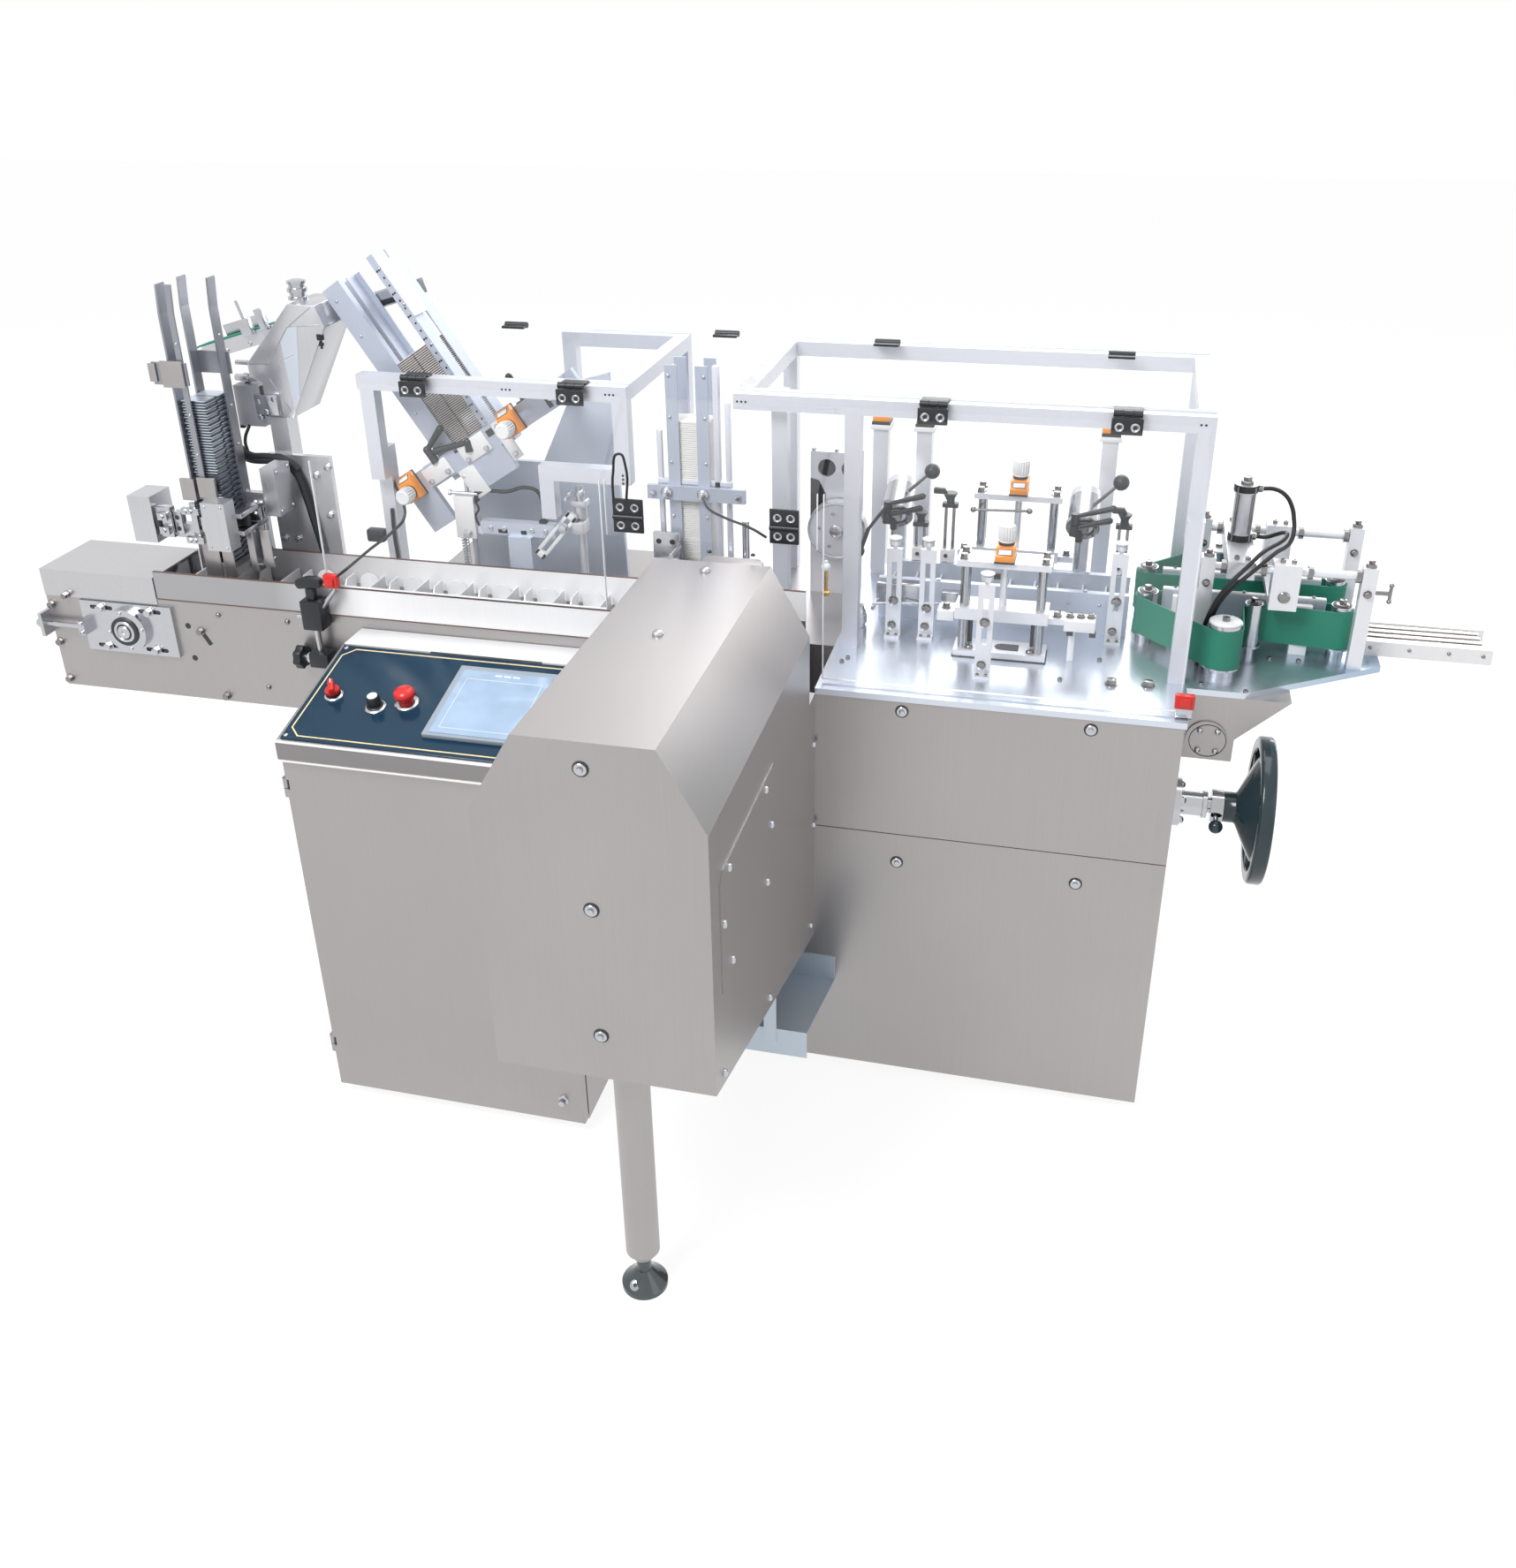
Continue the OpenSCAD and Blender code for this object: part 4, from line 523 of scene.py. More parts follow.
def sheetFasteners():
    bolts = Piece("sheet_bolts", "machined_steel")
    rings = Piece("bolt_rings", "dark_steel")
    r = sheets["washer"] / 2
    spots = [(x, 0, z) for x, z in sheets["panelBolts"]] + [(x, -737, z) for x, z in sheets["housingFront"]]
    for spot in spots:
        place = at(*spot, faceFront)
        bolts.add(lathe([(r - 7.6, 0), (r - 2.6, 0), (r - 2.6, 3), (r - 3.6, 4), (r - 7.6, 4)], 32), place)
        bolts.add(hexHead(9, 7), place)
        rings.add(lathe([(r - 2.6, 0), (r, 0), (r, 1.2), (r - 2.6, 2.2)], 32), place)
        rings.add(disc(r - 7.6, 2.5, 24), place)
    bolts.spread(sheets["housingTop"], Matrix(), domeHead, sheets["dome"] + 4, 8)
    bolts.spread([(2, y, z) for y, z in sheets["accessPanel"]], faceRight, domeHead, sheets["dome"] - 2, 6)
    bolts.spread([(0, y, z) for y, z in sheets["housingSide"]], faceRight, domeHead, sheets["dome"] - 2, 6)
    bolts.spread([(x, 136, z) for x, z in sheets["driveCover"]], faceFront, domeHead, 11, 6)
    rings.add(lathe([(32.4, 0), (33.6, 0), (33.6, 0.8), (32.4, 0.8)], 56), at(719, 136, 795.5, faceFront))
    allDone(rings, bolts)
    x, z = sheets["lock"]
    lock = Piece("door_lock", "machined_steel", "control_door")
    lock.add(domeHead(22, 4), at(x, -317, z, faceFront)).add(hexHead(13, 8), at(x, -321, z, faceFront))
    lock.done()


def footFittings():
    lo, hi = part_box("levelling_foot")
    x, y = [((lo[k] + hi[k]) / 2 - corner[k]) * 1000 for k in (0, 1)]
    r = (hi[0] - lo[0]) * 500
    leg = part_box("support_leg")[0][2] * 1000
    neck = Piece("foot_neck", "rod_chrome")
    neck.add(hexHead(34, 11), at(x, y, leg - 11))
    neck.add(lathe([(0, 0), (17, 0), (19, 3), (19, 6), (15, 9), (0, 9)], 32), at(x, y, leg - 20))
    tilt = at(x - r * 0.22, y - r * 0.60, 16, turned("X", 38))
    neck.add(lathe([(4, 0), (9, 0), (10, 1.5), (10, 4), (8.5, 5), (4, 5)], 26), tilt)
    neck.done()
    Piece("foot_hole", "dark_steel").add(socketHead(8, 5), tilt).done()


def housingTrim():
    trim = Piece("housing_trim", "stainless_sheet")
    trim.add(plate([(-205, -50), (-92, -50), (-92, -14), (-100, -6), (-196, -6), (-205, -14)], 10, 0.8),
             at(0, -2, 1143, turned("X", 24)))  # small flap at the back edge of the top
    trim.add(brick(-6, -60, 0, 0, -52, 150, 0.8), at(0, 0, 1006, turned("Y", -28.6)))
    trim.done()
    screws = Piece("flap_screws", "dark_steel")
    screws.spread([(-188, -30, 1163), (-108, -30, 1163)], Matrix(), socketHead, 8, 3).done()


panel = {"plate": (8, 8, 533, 282), "line": 2.8, "inset": 8, "cut": 22, "ends": (-942, -401),
         "switch": (57, 134), "speed": (152, 114), "stop": (207, 134), "screen": (274, 48, 474, 246)}


def onPanel(spot):
    return panelFrame @ moved(*spot, 4)


def panelGraphics():
    x0, y0, x1, y1 = panel["plate"]
    left, right = panel["ends"]
    inset = panel["inset"]
    border = Piece("panel_border", "gold_line")
    border.add(outlineStrip(cutCorners(x0 + inset, y0 + inset, x1 - inset, y1 - inset, panel["cut"]),
                            panel["line"], 0.5), panelFrame @ moved(0, 0, 4.3))
    border.done()
    # painted highlights: thin near-white strips along the panel's lower edge and the desk's front lips stand for light
    # caught on the sheet edges
    rim = Piece("desk_edge_highlights", "bright_sheet").add(brick(0, -1.2, -2, right - left, 7, 1.2, 0.5), panelFrame)
    rim.bricks([(left, -330.2, 808, right, -328.6, 811.5, 0.4), (left, -318.4, 799.5, right, -317, 803, 0.4)])
    rim.done()
    # painted light: a thin white sheet laid over the desk's flat stainless top, white as the lit top looks
    Piece("desk_top_painted_light", "white_plastic").add(brick(left + 2, -46.5, 917, right - 2, 27.5, 919.4, 0.5)).done()
    Piece("desk_fascia", "shaded_sheet").add(brick(left, -329.8, 812.5, right, -328, 845, 0.4)).done()
    # painted shade: dark strips fill the gap under the desk lip above the recessed door, and a dark line runs along the
    # panel's top edge
    gap = Piece("desk_gap_painted_shade", "dark_steel").add(brick(left, -318, 803.5, right, -305, 808, 0.3))
    gap.add(brick(190, 283, 0.5, 420, 289, 3.5, 0.4), panelFrame).done()
    screws = Piece("panel_screws", "machined_steel")
    for x in (x0 + 8, x1 - 8):
        for y in (y0 + 8, y1 - 8):
            screws.add(domeHead(9, 3), onPanel((x, y)))
    screws.done()


def panelControls():
    switch, speed, stop = [onPanel(panel[name]) for name in ("switch", "speed", "stop")]
    pointer = switch @ turned("Z", 28)
    bezels = Piece("control_bezels", "machined_steel")
    for place, r in ((switch, 18), (speed, 20), (stop, 23)):
        bezels.add(lathe([(r - 8, 0), (r, 0), (r, 2.5), (r - 3, 5), (r - 8, 5)], 36), place)
    bezels.done()
    knob = Piece("speed_knob", "dark_plastic").add(disc(14.5, 10, 30), switch)
    knob.add(lathe([(0, 0), (16, 0), (16, 6), (13.5, 8), (12.5, 26), (11, 28.5), (0, 28.5)], 36), speed)
    knob.done("panel_knobs")
    red = Piece("rotary_switch", "red_plastic").add(brick(-5.5, -17, 14, 5.5, 17, 30, 2.5), pointer)
    red.add(lathe([(0, 10), (13.5, 10), (14.5, 12), (14, 17), (12, 19), (0, 19)], 36), switch).done()
    mark = Piece("knob_marks", "white_plastic").add(brick(-1, 4, 30, 1, 16, 30.6), pointer)
    mark.add(lathe([(0, 28.5), (9.5, 28.5), (9.5, 29.3), (0, 29.6)], 28), speed).done()
    head = Piece("stop_head", "red_plastic")
    head.add(lathe([(0, 0), (14, 0), (14, 15), (18, 17), (20, 20), (20, 26), (18.5, 30), (14, 33.5), (7, 35.5),
                    (0, 36)], 44), stop).done("stop_button")


def touchScreen():
    x0, y0, x1, y1 = panel["screen"]
    case = Piece("screen_case", "screen_plastic")
    case.add(rimmed(brick(x0, y0, 4, x1, y1, 14), 9, 3, 1.2), panelFrame).done("touch_screen")
    glass = Piece("screen_glass", "display")
    glass.add(brick(x0 + 10, y0 + 10, 11, x1 - 10, y1 - 10, 12, 0.3), panelFrame).done()
    lines = Piece("screen_lines", "white_plastic")
    frameLine = [(x0 + 24, y0 + 24), (x1 - 24, y0 + 24), (x1 - 24, y1 - 34), (x0 + 24, y1 - 34)]
    lines.add(outlineStrip(frameLine, 1.0, 0.3), panelFrame @ moved(0, 0, 12.3))
    for x in (x0 + 76, x0 + 94, x0 + 112):
        lines.add(brick(x, y1 - 22, 12, x + 14, y1 - 18, 12.3), panelFrame)
    lines.done()


sheetFasteners()
footFittings()
housingTrim()
panelGraphics()
panelControls()
touchScreen()
print("cabinets and desk dressed")


# Infeed conveyor

takeUp = {"x": -1485, "z": 870, "plateFront": 22, "flangeFront": 8, "slot": (58, 44), "screwY": 12}
infeed = {"firstFlight": -1465, "pitch": 100, "flights": 13, "chainTop": 926, "front": 30,
          "hexBolts": [(-1284, 729), (-1670, 732), (-1672, 820), (-1670, 908), (-1317, 877)],
          "domes": [(-1268, 918), (-1109, 917), (-1180, 760)], "holes": [(-1346, 886), (-1345, 812)],
          "slotAt": (-1309, 864), "slotTurn": 30}


def takeUpFittings():
    x, z, front = takeUp["x"], takeUp["z"], takeUp["flangeFront"]
    wide, tall = takeUp["slot"]
    slots = [(x + sx * wide, takeUp["plateFront"], z + sz * tall) for sx in (-1, 1) for sz in (-1, 1)]
    flange = at(x, front, z, faceFront)
    bright = Piece("take_up_bolts", "machined_steel").spread(slots, faceFront, hexHead, 15, 10, 22)
    bright.add(lathe([(17, 0), (24, 0), (24, 4), (22.5, 5.5), (18.5, 5.5), (17, 4)], 36), flange)
    bright.add(lathe([(0, 0), (14.5, 0), (14.5, 6), (12.5, 8), (4, 8), (2.5, 6), (0, 6)], 30), flange)
    bright.spread([(x + dx, front, z + dz) for dx, dz in around(4, 8, 40)], faceFront, socketHead, 8, 3)
    bright.add(hexHead(17, 10, 22), at(-1688, takeUp["screwY"], z, faceLeft))
    bright.spread([(-1587.5, 2, z - 10), (-1587.5, 2, z + 10)], faceFront, socketHead, 9, 4)
    bright.done()
    seal = Piece("bearing_seal", "dark_steel")
    seal.add(lathe([(24, 0), (32, 0), (32, 2.5), (30, 4), (24, 3)], 36), flange)
    seal.add(lathe([(14.5, 0), (17, 0), (17, 4.5), (14.5, 4.5)], 30), flange)
    seal.spread([(sx, sy + 4, sz) for sx, sy, sz in slots], faceFront, brick, -27, -4.3, 0, 27, 4.3, 1.5)
    seal.done()


def infeedFittings():
    front = infeed["front"]
    bolts = Piece("infeed_bolts", "bolt_steel").add(hexHead(12, 14, 16), at(-1624, 28, 935, faceFront))
    bolts.spread([(x, front, z) for x, z in infeed["hexBolts"]], faceFront, hexHead, 13, 9, 19)
    bolts.spread([(x, front, z) for x, z in infeed["domes"]], faceFront, domeHead, 11, 5)
    bolts.done()
    sx, sz = infeed["slotAt"]
    dark = Piece("infeed_holes", "dark_steel")
    dark.spread([(x, front, z) for x, z in infeed["holes"]], faceFront, disc, 6.5, 0.4, 20)
    dark.add(brick(-5, -20, 0, 5, 20, 0.5), at(sx, front, sz, faceFront, turned("Z", infeed["slotTurn"])))
    dark.done()
    edges = Piece("trough_edges", "edge_trim")
    edges.bricks([(-1404, 28, 1003, -60, 34, 1004.4, 0.4), (-1404, 196, 1003, -60, 202, 1004.4, 0.4),
                  (-1404, 27.4, 942, -60, 28, 944.5)]).done()


def archPlate(wide, tall):  # upright plate with a round head
    r = wide / 2
    return [(-r, 0), (r, 0)] + [(r * math.cos(a), tall - r + r * math.sin(a)) for a in
                                (math.pi * k / 14 for k in range(15))]


def bucketDetails():
    guides = Piece("bucket_guides", "pale_sheet")
    feet = Piece("flight_feet", "machined_steel")
    z = infeed["chainTop"]
    for k in range(3, infeed["flights"]):
        x = infeed["firstFlight"] + k * infeed["pitch"]
        guides.add(plate(archPlate(46, 40), 2, 0.5), at(x + 64, 193, z + 3, faceFront))
        guides.add(brick(x + 34, 44, z, x + 96, 188, z + 2, 0.5))
        feet.add(socketHead(9, 5), at(x + 40, 50, z + 12))
        feet.bricks([(x + 33, 42, z + 2, x + 46, 58, z + 12, 1.5), (x + 88, 60, z + 2, x + 99, 72, z + 9, 1.2)])
    allDone(guides, feet)


guardClamp = {"x": -1028, "y": 6,
              "thumb": [(-30, -4), (-24, -12), (0, -8), (24, -6), (28, 2), (26, 12), (14, 16), (-4, 15), (-20, 10),
                        (-30, 6)],
              "lead": [(-968, 10, 1036), (-955, 30, 1046), (-938, 100, 1062), (-915, 160, 1080), (-905, 200, 1100),
                       (-915, 214, 1135), (-930, 222, 1160), (-936, 226, 1190)]}


def guardClampUnit():  # black clamp, rod and knobs before the trough's front wall
    x, y = guardClamp["x"], guardClamp["y"]
    black = Piece("guard_clamp", "dark_plastic")
    black.bricks([(x - 22, y - 16, 921, x + 22, 28, 984, 3.0), (x - 9, y - 9, 984, x + 9, y + 9, 1010, 3.0),
                  (x - 20, y - 18, 838, x + 24, y + 18, 870, 4.0)])
    black.add(plate(guardClamp["thumb"], 18, 4.0), at(x, y + 9, 1018, faceFront))
    black.add(starGrip(50, 17, 7), at(x - 37, y, 853, faceLeft)).done()
    bright = Piece("guard_clamp_rods", "machined_steel")
    bright.add(rod(13, 70), at(x, y, 858)).add(rod(9, 18), at(x - 22, y, 944, faceLeft))
    bright.add(lathe([(0, 0), (11, 0), (11, 8), (8, 10), (8, 17), (0, 17)], 24), at(x - 20, y, 853, faceLeft))
    bright.add(bar((x + 18, y + 2, 968), (-976, 10, 1008), 11)).add(bar((-976, 10, 1008), (-976, 10, 1020), 11))
    bright.done()
    red = Piece("left_switch", "red_plastic")
    red.bricks([(-996, 2, 1012, -966, 18, 1040, 2.5), (-990, -3, 1017, -972, 3, 1034, 2.0)]).done()
    Piece("left_switch_lead", "black_rubber").add(tube(guardClamp["lead"], 6)).done()


# Product magazine and feeder boxes

product = {"x": (-1292, -1236), "y": (74, 156), "z": (1021, 1360), "layer": 5.6, "overhang": 1.6}
feeder = {
    "brackets": [(-1384, 52, 1074, -1350, 70, 1138, 1.2), (-1348, 58, 1080, -1330, 74, 1128, 1.2),
                 (-1374, 40, 1084, -1352, 52, 1100, 1.0), (-1374, 40, 1114, -1352, 52, 1130, 1.0),
                 (-1306, 56, 1064, -1292, 66, 1150, 1.0), (-1320, 46, 1066, -1280, 56, 1080, 1.0),
                 (-1320, 46, 1128, -1280, 56, 1142, 1.0), (-1204, 36, 1096, -1176, 128, 1106, 1.0),
                 (-1204, 36, 1132, -1176, 128, 1142, 1.0), (-1216, 92, 1006, -1176, 136, 1014, 1.0)],
    "bolts": [(-1363, 40, 1092), (-1363, 40, 1122), (-1299, 46, 1073), (-1299, 46, 1135), (-1310, 46, 1073),
              (-1310, 46, 1135)],
    "sideBolts": [(-1176, 84, 1128), (-1176, 98, 1110), (-1176, 110, 1142), (-1176, 92, 1150)],
    "slots": [(-1384, 47, 1096, -1376, 52, 1118, 0.8), (-1206, 60, 1108, -1178, 70, 1130, 1.0),
              (-1206, 92, 1108, -1178, 100, 1130, 1.0)],
    "tabs": [(-1338, 58, 1396, -1322, 61, 1432, 0.6), (-1310, 57, 1386, -1262, 61.5, 1438, 0.8),
             (-1318, 58, 1155, -1286, 66, 1200, 0.8), (-1280, 60, 1162, -1240, 66, 1204, 0.8)],
    "railEnds": [(-1300, 64, 985, -1262, 68, 1090, 0.8), (-1256, 64, 990, -1230, 68, 1080, 0.8),
                 (-1192, 64, 1010, -1177, 68, 1098, 0.8), (-1160, 64, 1020, -1139, 68, 1100, 0.8)],
    "railScrews": (1060, 1150, 1250, 1330, 1470),
}


def productStack():  # two columns of blister packs with alternate overhang
    dark = Piece("product_packs", "blister_pack")
    light = Piece("product_foils", "blister_foil")
    x0, x1 = product["x"]
    y0, y1 = product["y"]
    low, high = product["z"]
    for column in range(2):
        near = y0 + column * (y1 - y0) / 2
        far = near + (y1 - y0) / 2 - 1.0
        for k in range(int((high - low) / product["layer"])):
            z = low + k * product["layer"]
            shift = product["overhang"] if (k + column) % 2 else -product["overhang"]
            skew = dice.uniform(-0.6, 0.6)
            dark.add(brick(x0 + 3 + shift, near + 1.8, z, x1 - 3 + shift, far - 1.8, z + 3.6, 1.2))
            light.add(brick(x0 + 2.2 - shift, near + 1.2 + skew, z + 3.6, x1 - 2.2 - shift, far - 1.2 + skew, z + 5.4))
    dark.done("product_stack")
    light.done()


def feederFittings():
    bright = Piece("feeder_brackets", "machined_steel").bricks(feeder["brackets"])
    bright.add(rod(9, 130), at(-1206, 100, 1006)).add(rod(9, 120), at(-1184, 128, 1006))
    bright.spread(feeder["bolts"], faceFront, hexHead, 9, 5)
    bright.spread([(x, 0, z) for x in (-1232, -1196) for z in (1082, 1166)], faceFront, domeHead, 6, 2)
    bright.spread([(-1137, y, z) for y in (122, 166) for z in (1122, 1204)], faceRight, domeHead, 7, 3)
    bright.spread(feeder["sideBolts"], faceRight, hexHead, 8, 6).done()
    dark = Piece("feeder_holes", "dark_steel").bricks(feeder["slots"])
    dark.spread([(-1340, 58, 1092), (-1340, 58, 1116)], faceFront, disc, 5, 0.5, 16).done()
    screws = Piece("rail_screws", "machined_steel")
    screws.spread([(-1230, 151, z) for z in feeder["railScrews"]], faceRight, domeHead, 6, 2.5)
    screws.spread([(-1270, 66, z) for z in feeder["railScrews"]], faceFront, domeHead, 6, 2.5).done()
    Piece("magazine_band_tabs", "stainless_sheet").bricks(feeder["tabs"]).done()
    Piece("rail_feet", "stainless_sheet").bricks(feeder["railEnds"]).done()


# Leaflet feeder behind the trough

leaflet = {
    "cover": [(-1190, 1290), (-1134, 1290), (-1034, 1478), (-1050, 1520), (-1110, 1520), (-1220, 1399), (-1220, 1372),
              (-1194, 1360)],
    "window": [(-1136, 1446), (-1116, 1474), (-1094, 1480), (-1112, 1332), (-1128, 1306)],
    "folds": [((-1150, 1402), (-1112, 1420)), ((-1174, 1369), (-1136, 1304)), ((-1216, 1398), (-1172, 1400)),
              ((-1172, 1400), (-1116, 1476)), ((-1116, 1476), (-1046, 1482)), ((-1060, 1516), (-1112, 1478))],
    "knob": [(0, 0), (20, 0), (20, 5), (16, 6), (16, 14), (20, 15), (20, 22), (16, 23), (16, 30), (19, 31), (19, 36),
             (12, 38), (0, 38)],
    "plateBolts": [(-1065, 1194), (-1094, 1175), (-1075, 1090), (-1190, 1030), (-1160, 1030)],
    "motorBolts": [(-1204, 1322), (-1180, 1318), (-1188, 1302), (-1168, 1330), (-1204, 1290)],
    "conduits": [([(-1266, 206, 1215), (-1245, 199, 1205), (-1205, 198, 1203), (-1170, 199, 1207), (-1148, 199, 1192),
                   (-1132, 199, 1170), (-1122, 199, 1130), (-1114, 199, 1085), (-1106, 199, 1040),
                   (-1102, 201, 1008)], 20),
                 ([(-1262, 206, 1222), (-1236, 196, 1212), (-1195, 195, 1212), (-1152, 196, 1204),
                   (-1130, 196, 1186)], 13),
                 ([(-1240, 216, 1270), (-1250, 206, 1240), (-1244, 200, 1214)], 7)],
    "blackBlocks": [(-1085, 216, 1440, -1044, 222, 1446, 0.8), (-1262, 214, 1262, -1252, 224, 1270, 0.8),
                    (-1002, 204, 1034, -962, 226, 1062, 5.0)],
    "bedBlocks": [(150, -14, -6, 176, 0, 28, 1.2), (196, -12, -4, 214, 0, 40, 1.2), (60, 62, -6, 150, 66, 26, 0.8)],
}


def leafletFeederFittings():
    bright = Piece("leaflet_fittings", "machined_steel").add(lathe(leaflet["knob"], 28), at(-1114, 268, 1520))
    bright.spread([(x, 202, z) for x, z in leaflet["plateBolts"]], faceFront, hexHead, 12, 7, 17)
    bright.spread([(x, 212, z) for x, z in leaflet["motorBolts"]], faceFront, hexHead, 11, 9)
    bright.add(brick(-1212, 204, 1296, -1160, 214, 1338, 1.2)).add(rod(14, 46), at(-1222, 240, 1362, faceLeft))
    bright.add(rod(20, 12), at(-1236, 240, 1362, faceLeft)).add(rod(10, 34), at(-1226, 236, 1394, faceLeft))
    bright.done()
    cover = Piece("leaflet_cover_shell", "bright_stainless")
    cover.add(plate(leaflet["cover"], 110, 1.6), at(0, 324, 0, faceFront)).done("leaflet_cover")
    Piece("leaflet_cover_window", "polished_deck").add(plate(leaflet["window"], 0.8), at(0, 214, 0, faceFront)).done()
    folds = Piece("leaflet_cover_folds", "machined_steel")
    for (ax, az), (bx, bz) in leaflet["folds"]:
        folds.add(bar((ax, 213.6, az), (bx, 213.6, bz), 1.8, steps=8))
    folds.done()
    black = Piece("leaflet_black_parts", "dark_plastic").bricks(leaflet["blackBlocks"])
    black.add(rod(5, 48), at(-1049, 219, 1434)).add(rod(15, 12), at(-1049, 219, 1452))
    for route, wide in leaflet["conduits"]:
        black.add(tube(route, wide))
    black.done()
    belts = Piece("leaflet_conveyor_trim", "dark_plastic")
    belts.bricks([(300, y, -27, 552, y + 1.6, -16, 0.4) for y in (-0.6, 59.0)], inclineFrame).done()
    idlers = Piece("leaflet_conveyor_rollers", "machined_steel").bricks(leaflet["bedBlocks"], inclineFrame)
    for x in (20, 200, 236):
        idlers.add(rod(16, 76), inclineFrame @ moved(x, 68, -8) @ faceFront)
    for x in (40, 90, 150, 260, 330, 420, 520):
        idlers.add(socketHead(8, 4), inclineFrame @ moved(x, 0, -22) @ faceFront)
    idlers.add(rod(8, 40), inclineFrame @ moved(164, -7, 28)).done()


takeUpFittings()
infeedFittings()
bucketDetails()
guardClampUnit()
productStack()
feederFittings()
leafletFeederFittings()
print("infeed and product side dressed")


# Carton magazine and the pick unit under it

carton = {"halfWide": 52.5, "halfDeep": 43, "stack": 250, "layer": 4.2, "rail": 440, "dotStep": 17,
          "barMarks": [(-96, -82, 36, 46), (46, 62, 30, 44), (72, 80, 32, 44), (-40, -30, 40, 47), (196, 206, 12, 46)],
          "backMarks": [(84, 100), (118, 140), (150, 176)],
          "plates": [(-130, -64, 10, -64, -60, 48, 0.8), (-30, -63, 8, 40, -60, 50, 0.8),
                     (66, -64, -36, 90, -60, 50, 0.8), (-60, -62, -60, -20, -59, 6, 0.8),
                     (56, -48, 300, 60, 10, 420, 0.6)],
          "bolts": [(-120, 20), (-74, 20), (-20, 16), (30, 16), (78, 40), (78, -24), (210, 28), (-180, 40)]}
levers = [((-839, 240, 1206), (-857, 240, 1231), (-822, 238, 1278)),
          ((-762, 240, 1234), (-765, 240, 1253), (-836, 236, 1231)),
          ((-672, 330, 1322), (-684, 330, 1341), (-702, 328, 1366))]


def onStack(x, y, z):  # on the magazine, facing the operator
    return stackFrame @ moved(x, y, z) @ faceFront


def cartonStack():
    boards = Piece("carton_boards", "carton_board")
    edges = Piece("carton_edges", "leaflet_paper")
    w, d = carton["halfWide"] - 1, carton["halfDeep"] - 1
    for k in range(int(carton["stack"] / carton["layer"])):
        z = k * carton["layer"]
        for left, right in ((-w, -0.8), (0.8, w)):
            out = dice.uniform(-0.7, 0.7)
            boards.add(brick(left + 0.8 + out, -d + 0.8, z, right - 0.8 + out, d - 0.8, z + 2.5), stackFrame)
            edges.add(brick(left + 0.2 - out / 2, -d + 0.3 + abs(out), z + 2.5, right - 0.2, d - 0.5, z + 3.6),
                      stackFrame)
    boards.done("carton_stack")
    edges.done()


def magazineFittings():
    dots = Piece("magazine_dots", "dark_steel")
    for k in range(1, int(carton["rail"] / carton["dotStep"])):
        for x in (49,) if k % 3 else (49, 44):
            dots.add(disc(2.2, 0.5, 10), onStack(x, -46, k * carton["dotStep"]))
    dots.bricks([(x0, -60.8, z0, x1, -59.8, z1) for x0, x1, z0, z1 in carton["barMarks"]], stackFrame)
    dots.bricks([(x0, 45, 52, x1, 60, 55, 0.6) for x0, x1 in carton["backMarks"]], stackFrame).done()
    Piece("magazine_plates", "pale_sheet").bricks(carton["plates"], stackFrame).done()
    bolts = Piece("magazine_bolts", "machined_steel")
    for x, z in carton["bolts"]:
        bolts.add(hexHead(10, 6), onStack(x, -64 if abs(x) < 125 else -60, z))
    for z in (60, 150, 240, 330, 410):
        for x in (-70, 52):
            bolts.add(domeHead(6, 2.5), onStack(x, -46, z))
    bolts.done()
    black = Piece("magazine_levers", "dark_plastic")
    for base, bend, tip in levers:  # hub, elbow and tapered handle
        black.add(bar(base, bend, 19, 16)).add(ball(bend, 17)).add(bar(bend, tip, 11, 15)).add(ball(tip, 15))
    black.done()


pick = {"box": [(-806, 228, 1050, -762, 262, 1140, 1.2), (-762, 236, 1058, -750, 250, 1084, 0.8)],
        "arm": (-616, 206, 1034), "armReach": (80, 94),
        "rods": [(9, 40, -781, 245, 1140), (16, 6, -781, 245, 1176), (6, 104, -796, 244, 946), (11, 90, -778, 252, 962),
                 (16, 296, -528, 226, 886), (26, 26, -528, 226, 1116), (22, 10, -528, 226, 1160)],
        "clamps": [(-546, 212, 1140, -512, 240, 1152, 1.5), (-540, 200, 1086, -516, 240, 1112, 2.0)],
        "pins": [(-540, 214, 1172), (-518, 214, 1176), (-548, 214, 1160), (-508, 214, 1158)],
        "screws": [(-730, 232, 1076), (-700, 232, 1076), (-640, 232, 1076), (-610, 232, 1076)],
        "loop": [(-757, 240, 1146), (-735, 243, 1151), (-695, 250, 1150), (-657, 256, 1159), (-632, 258, 1152),
                 (-621, 254, 1127), (-618, 246, 1092)],
        "thinLead": [(-760, 232, 1132), (-752, 230, 1116), (-760, 229, 1100), (-754, 229, 1080)],
        "postLead": [(-942, 212, 900), (-938, 210, 980), (-940, 210, 1060), (-938, 211, 1110)],
        "plugs": [(-762, 234, 1128, -754, 246, 1150, 1.5), (-626, 238, 1088, -610, 252, 1096, 1.5),
                  (-714, 231, 1066, -694, 232.4, 1074), (-664, 231, 1066, -652, 232.4, 1074)]}


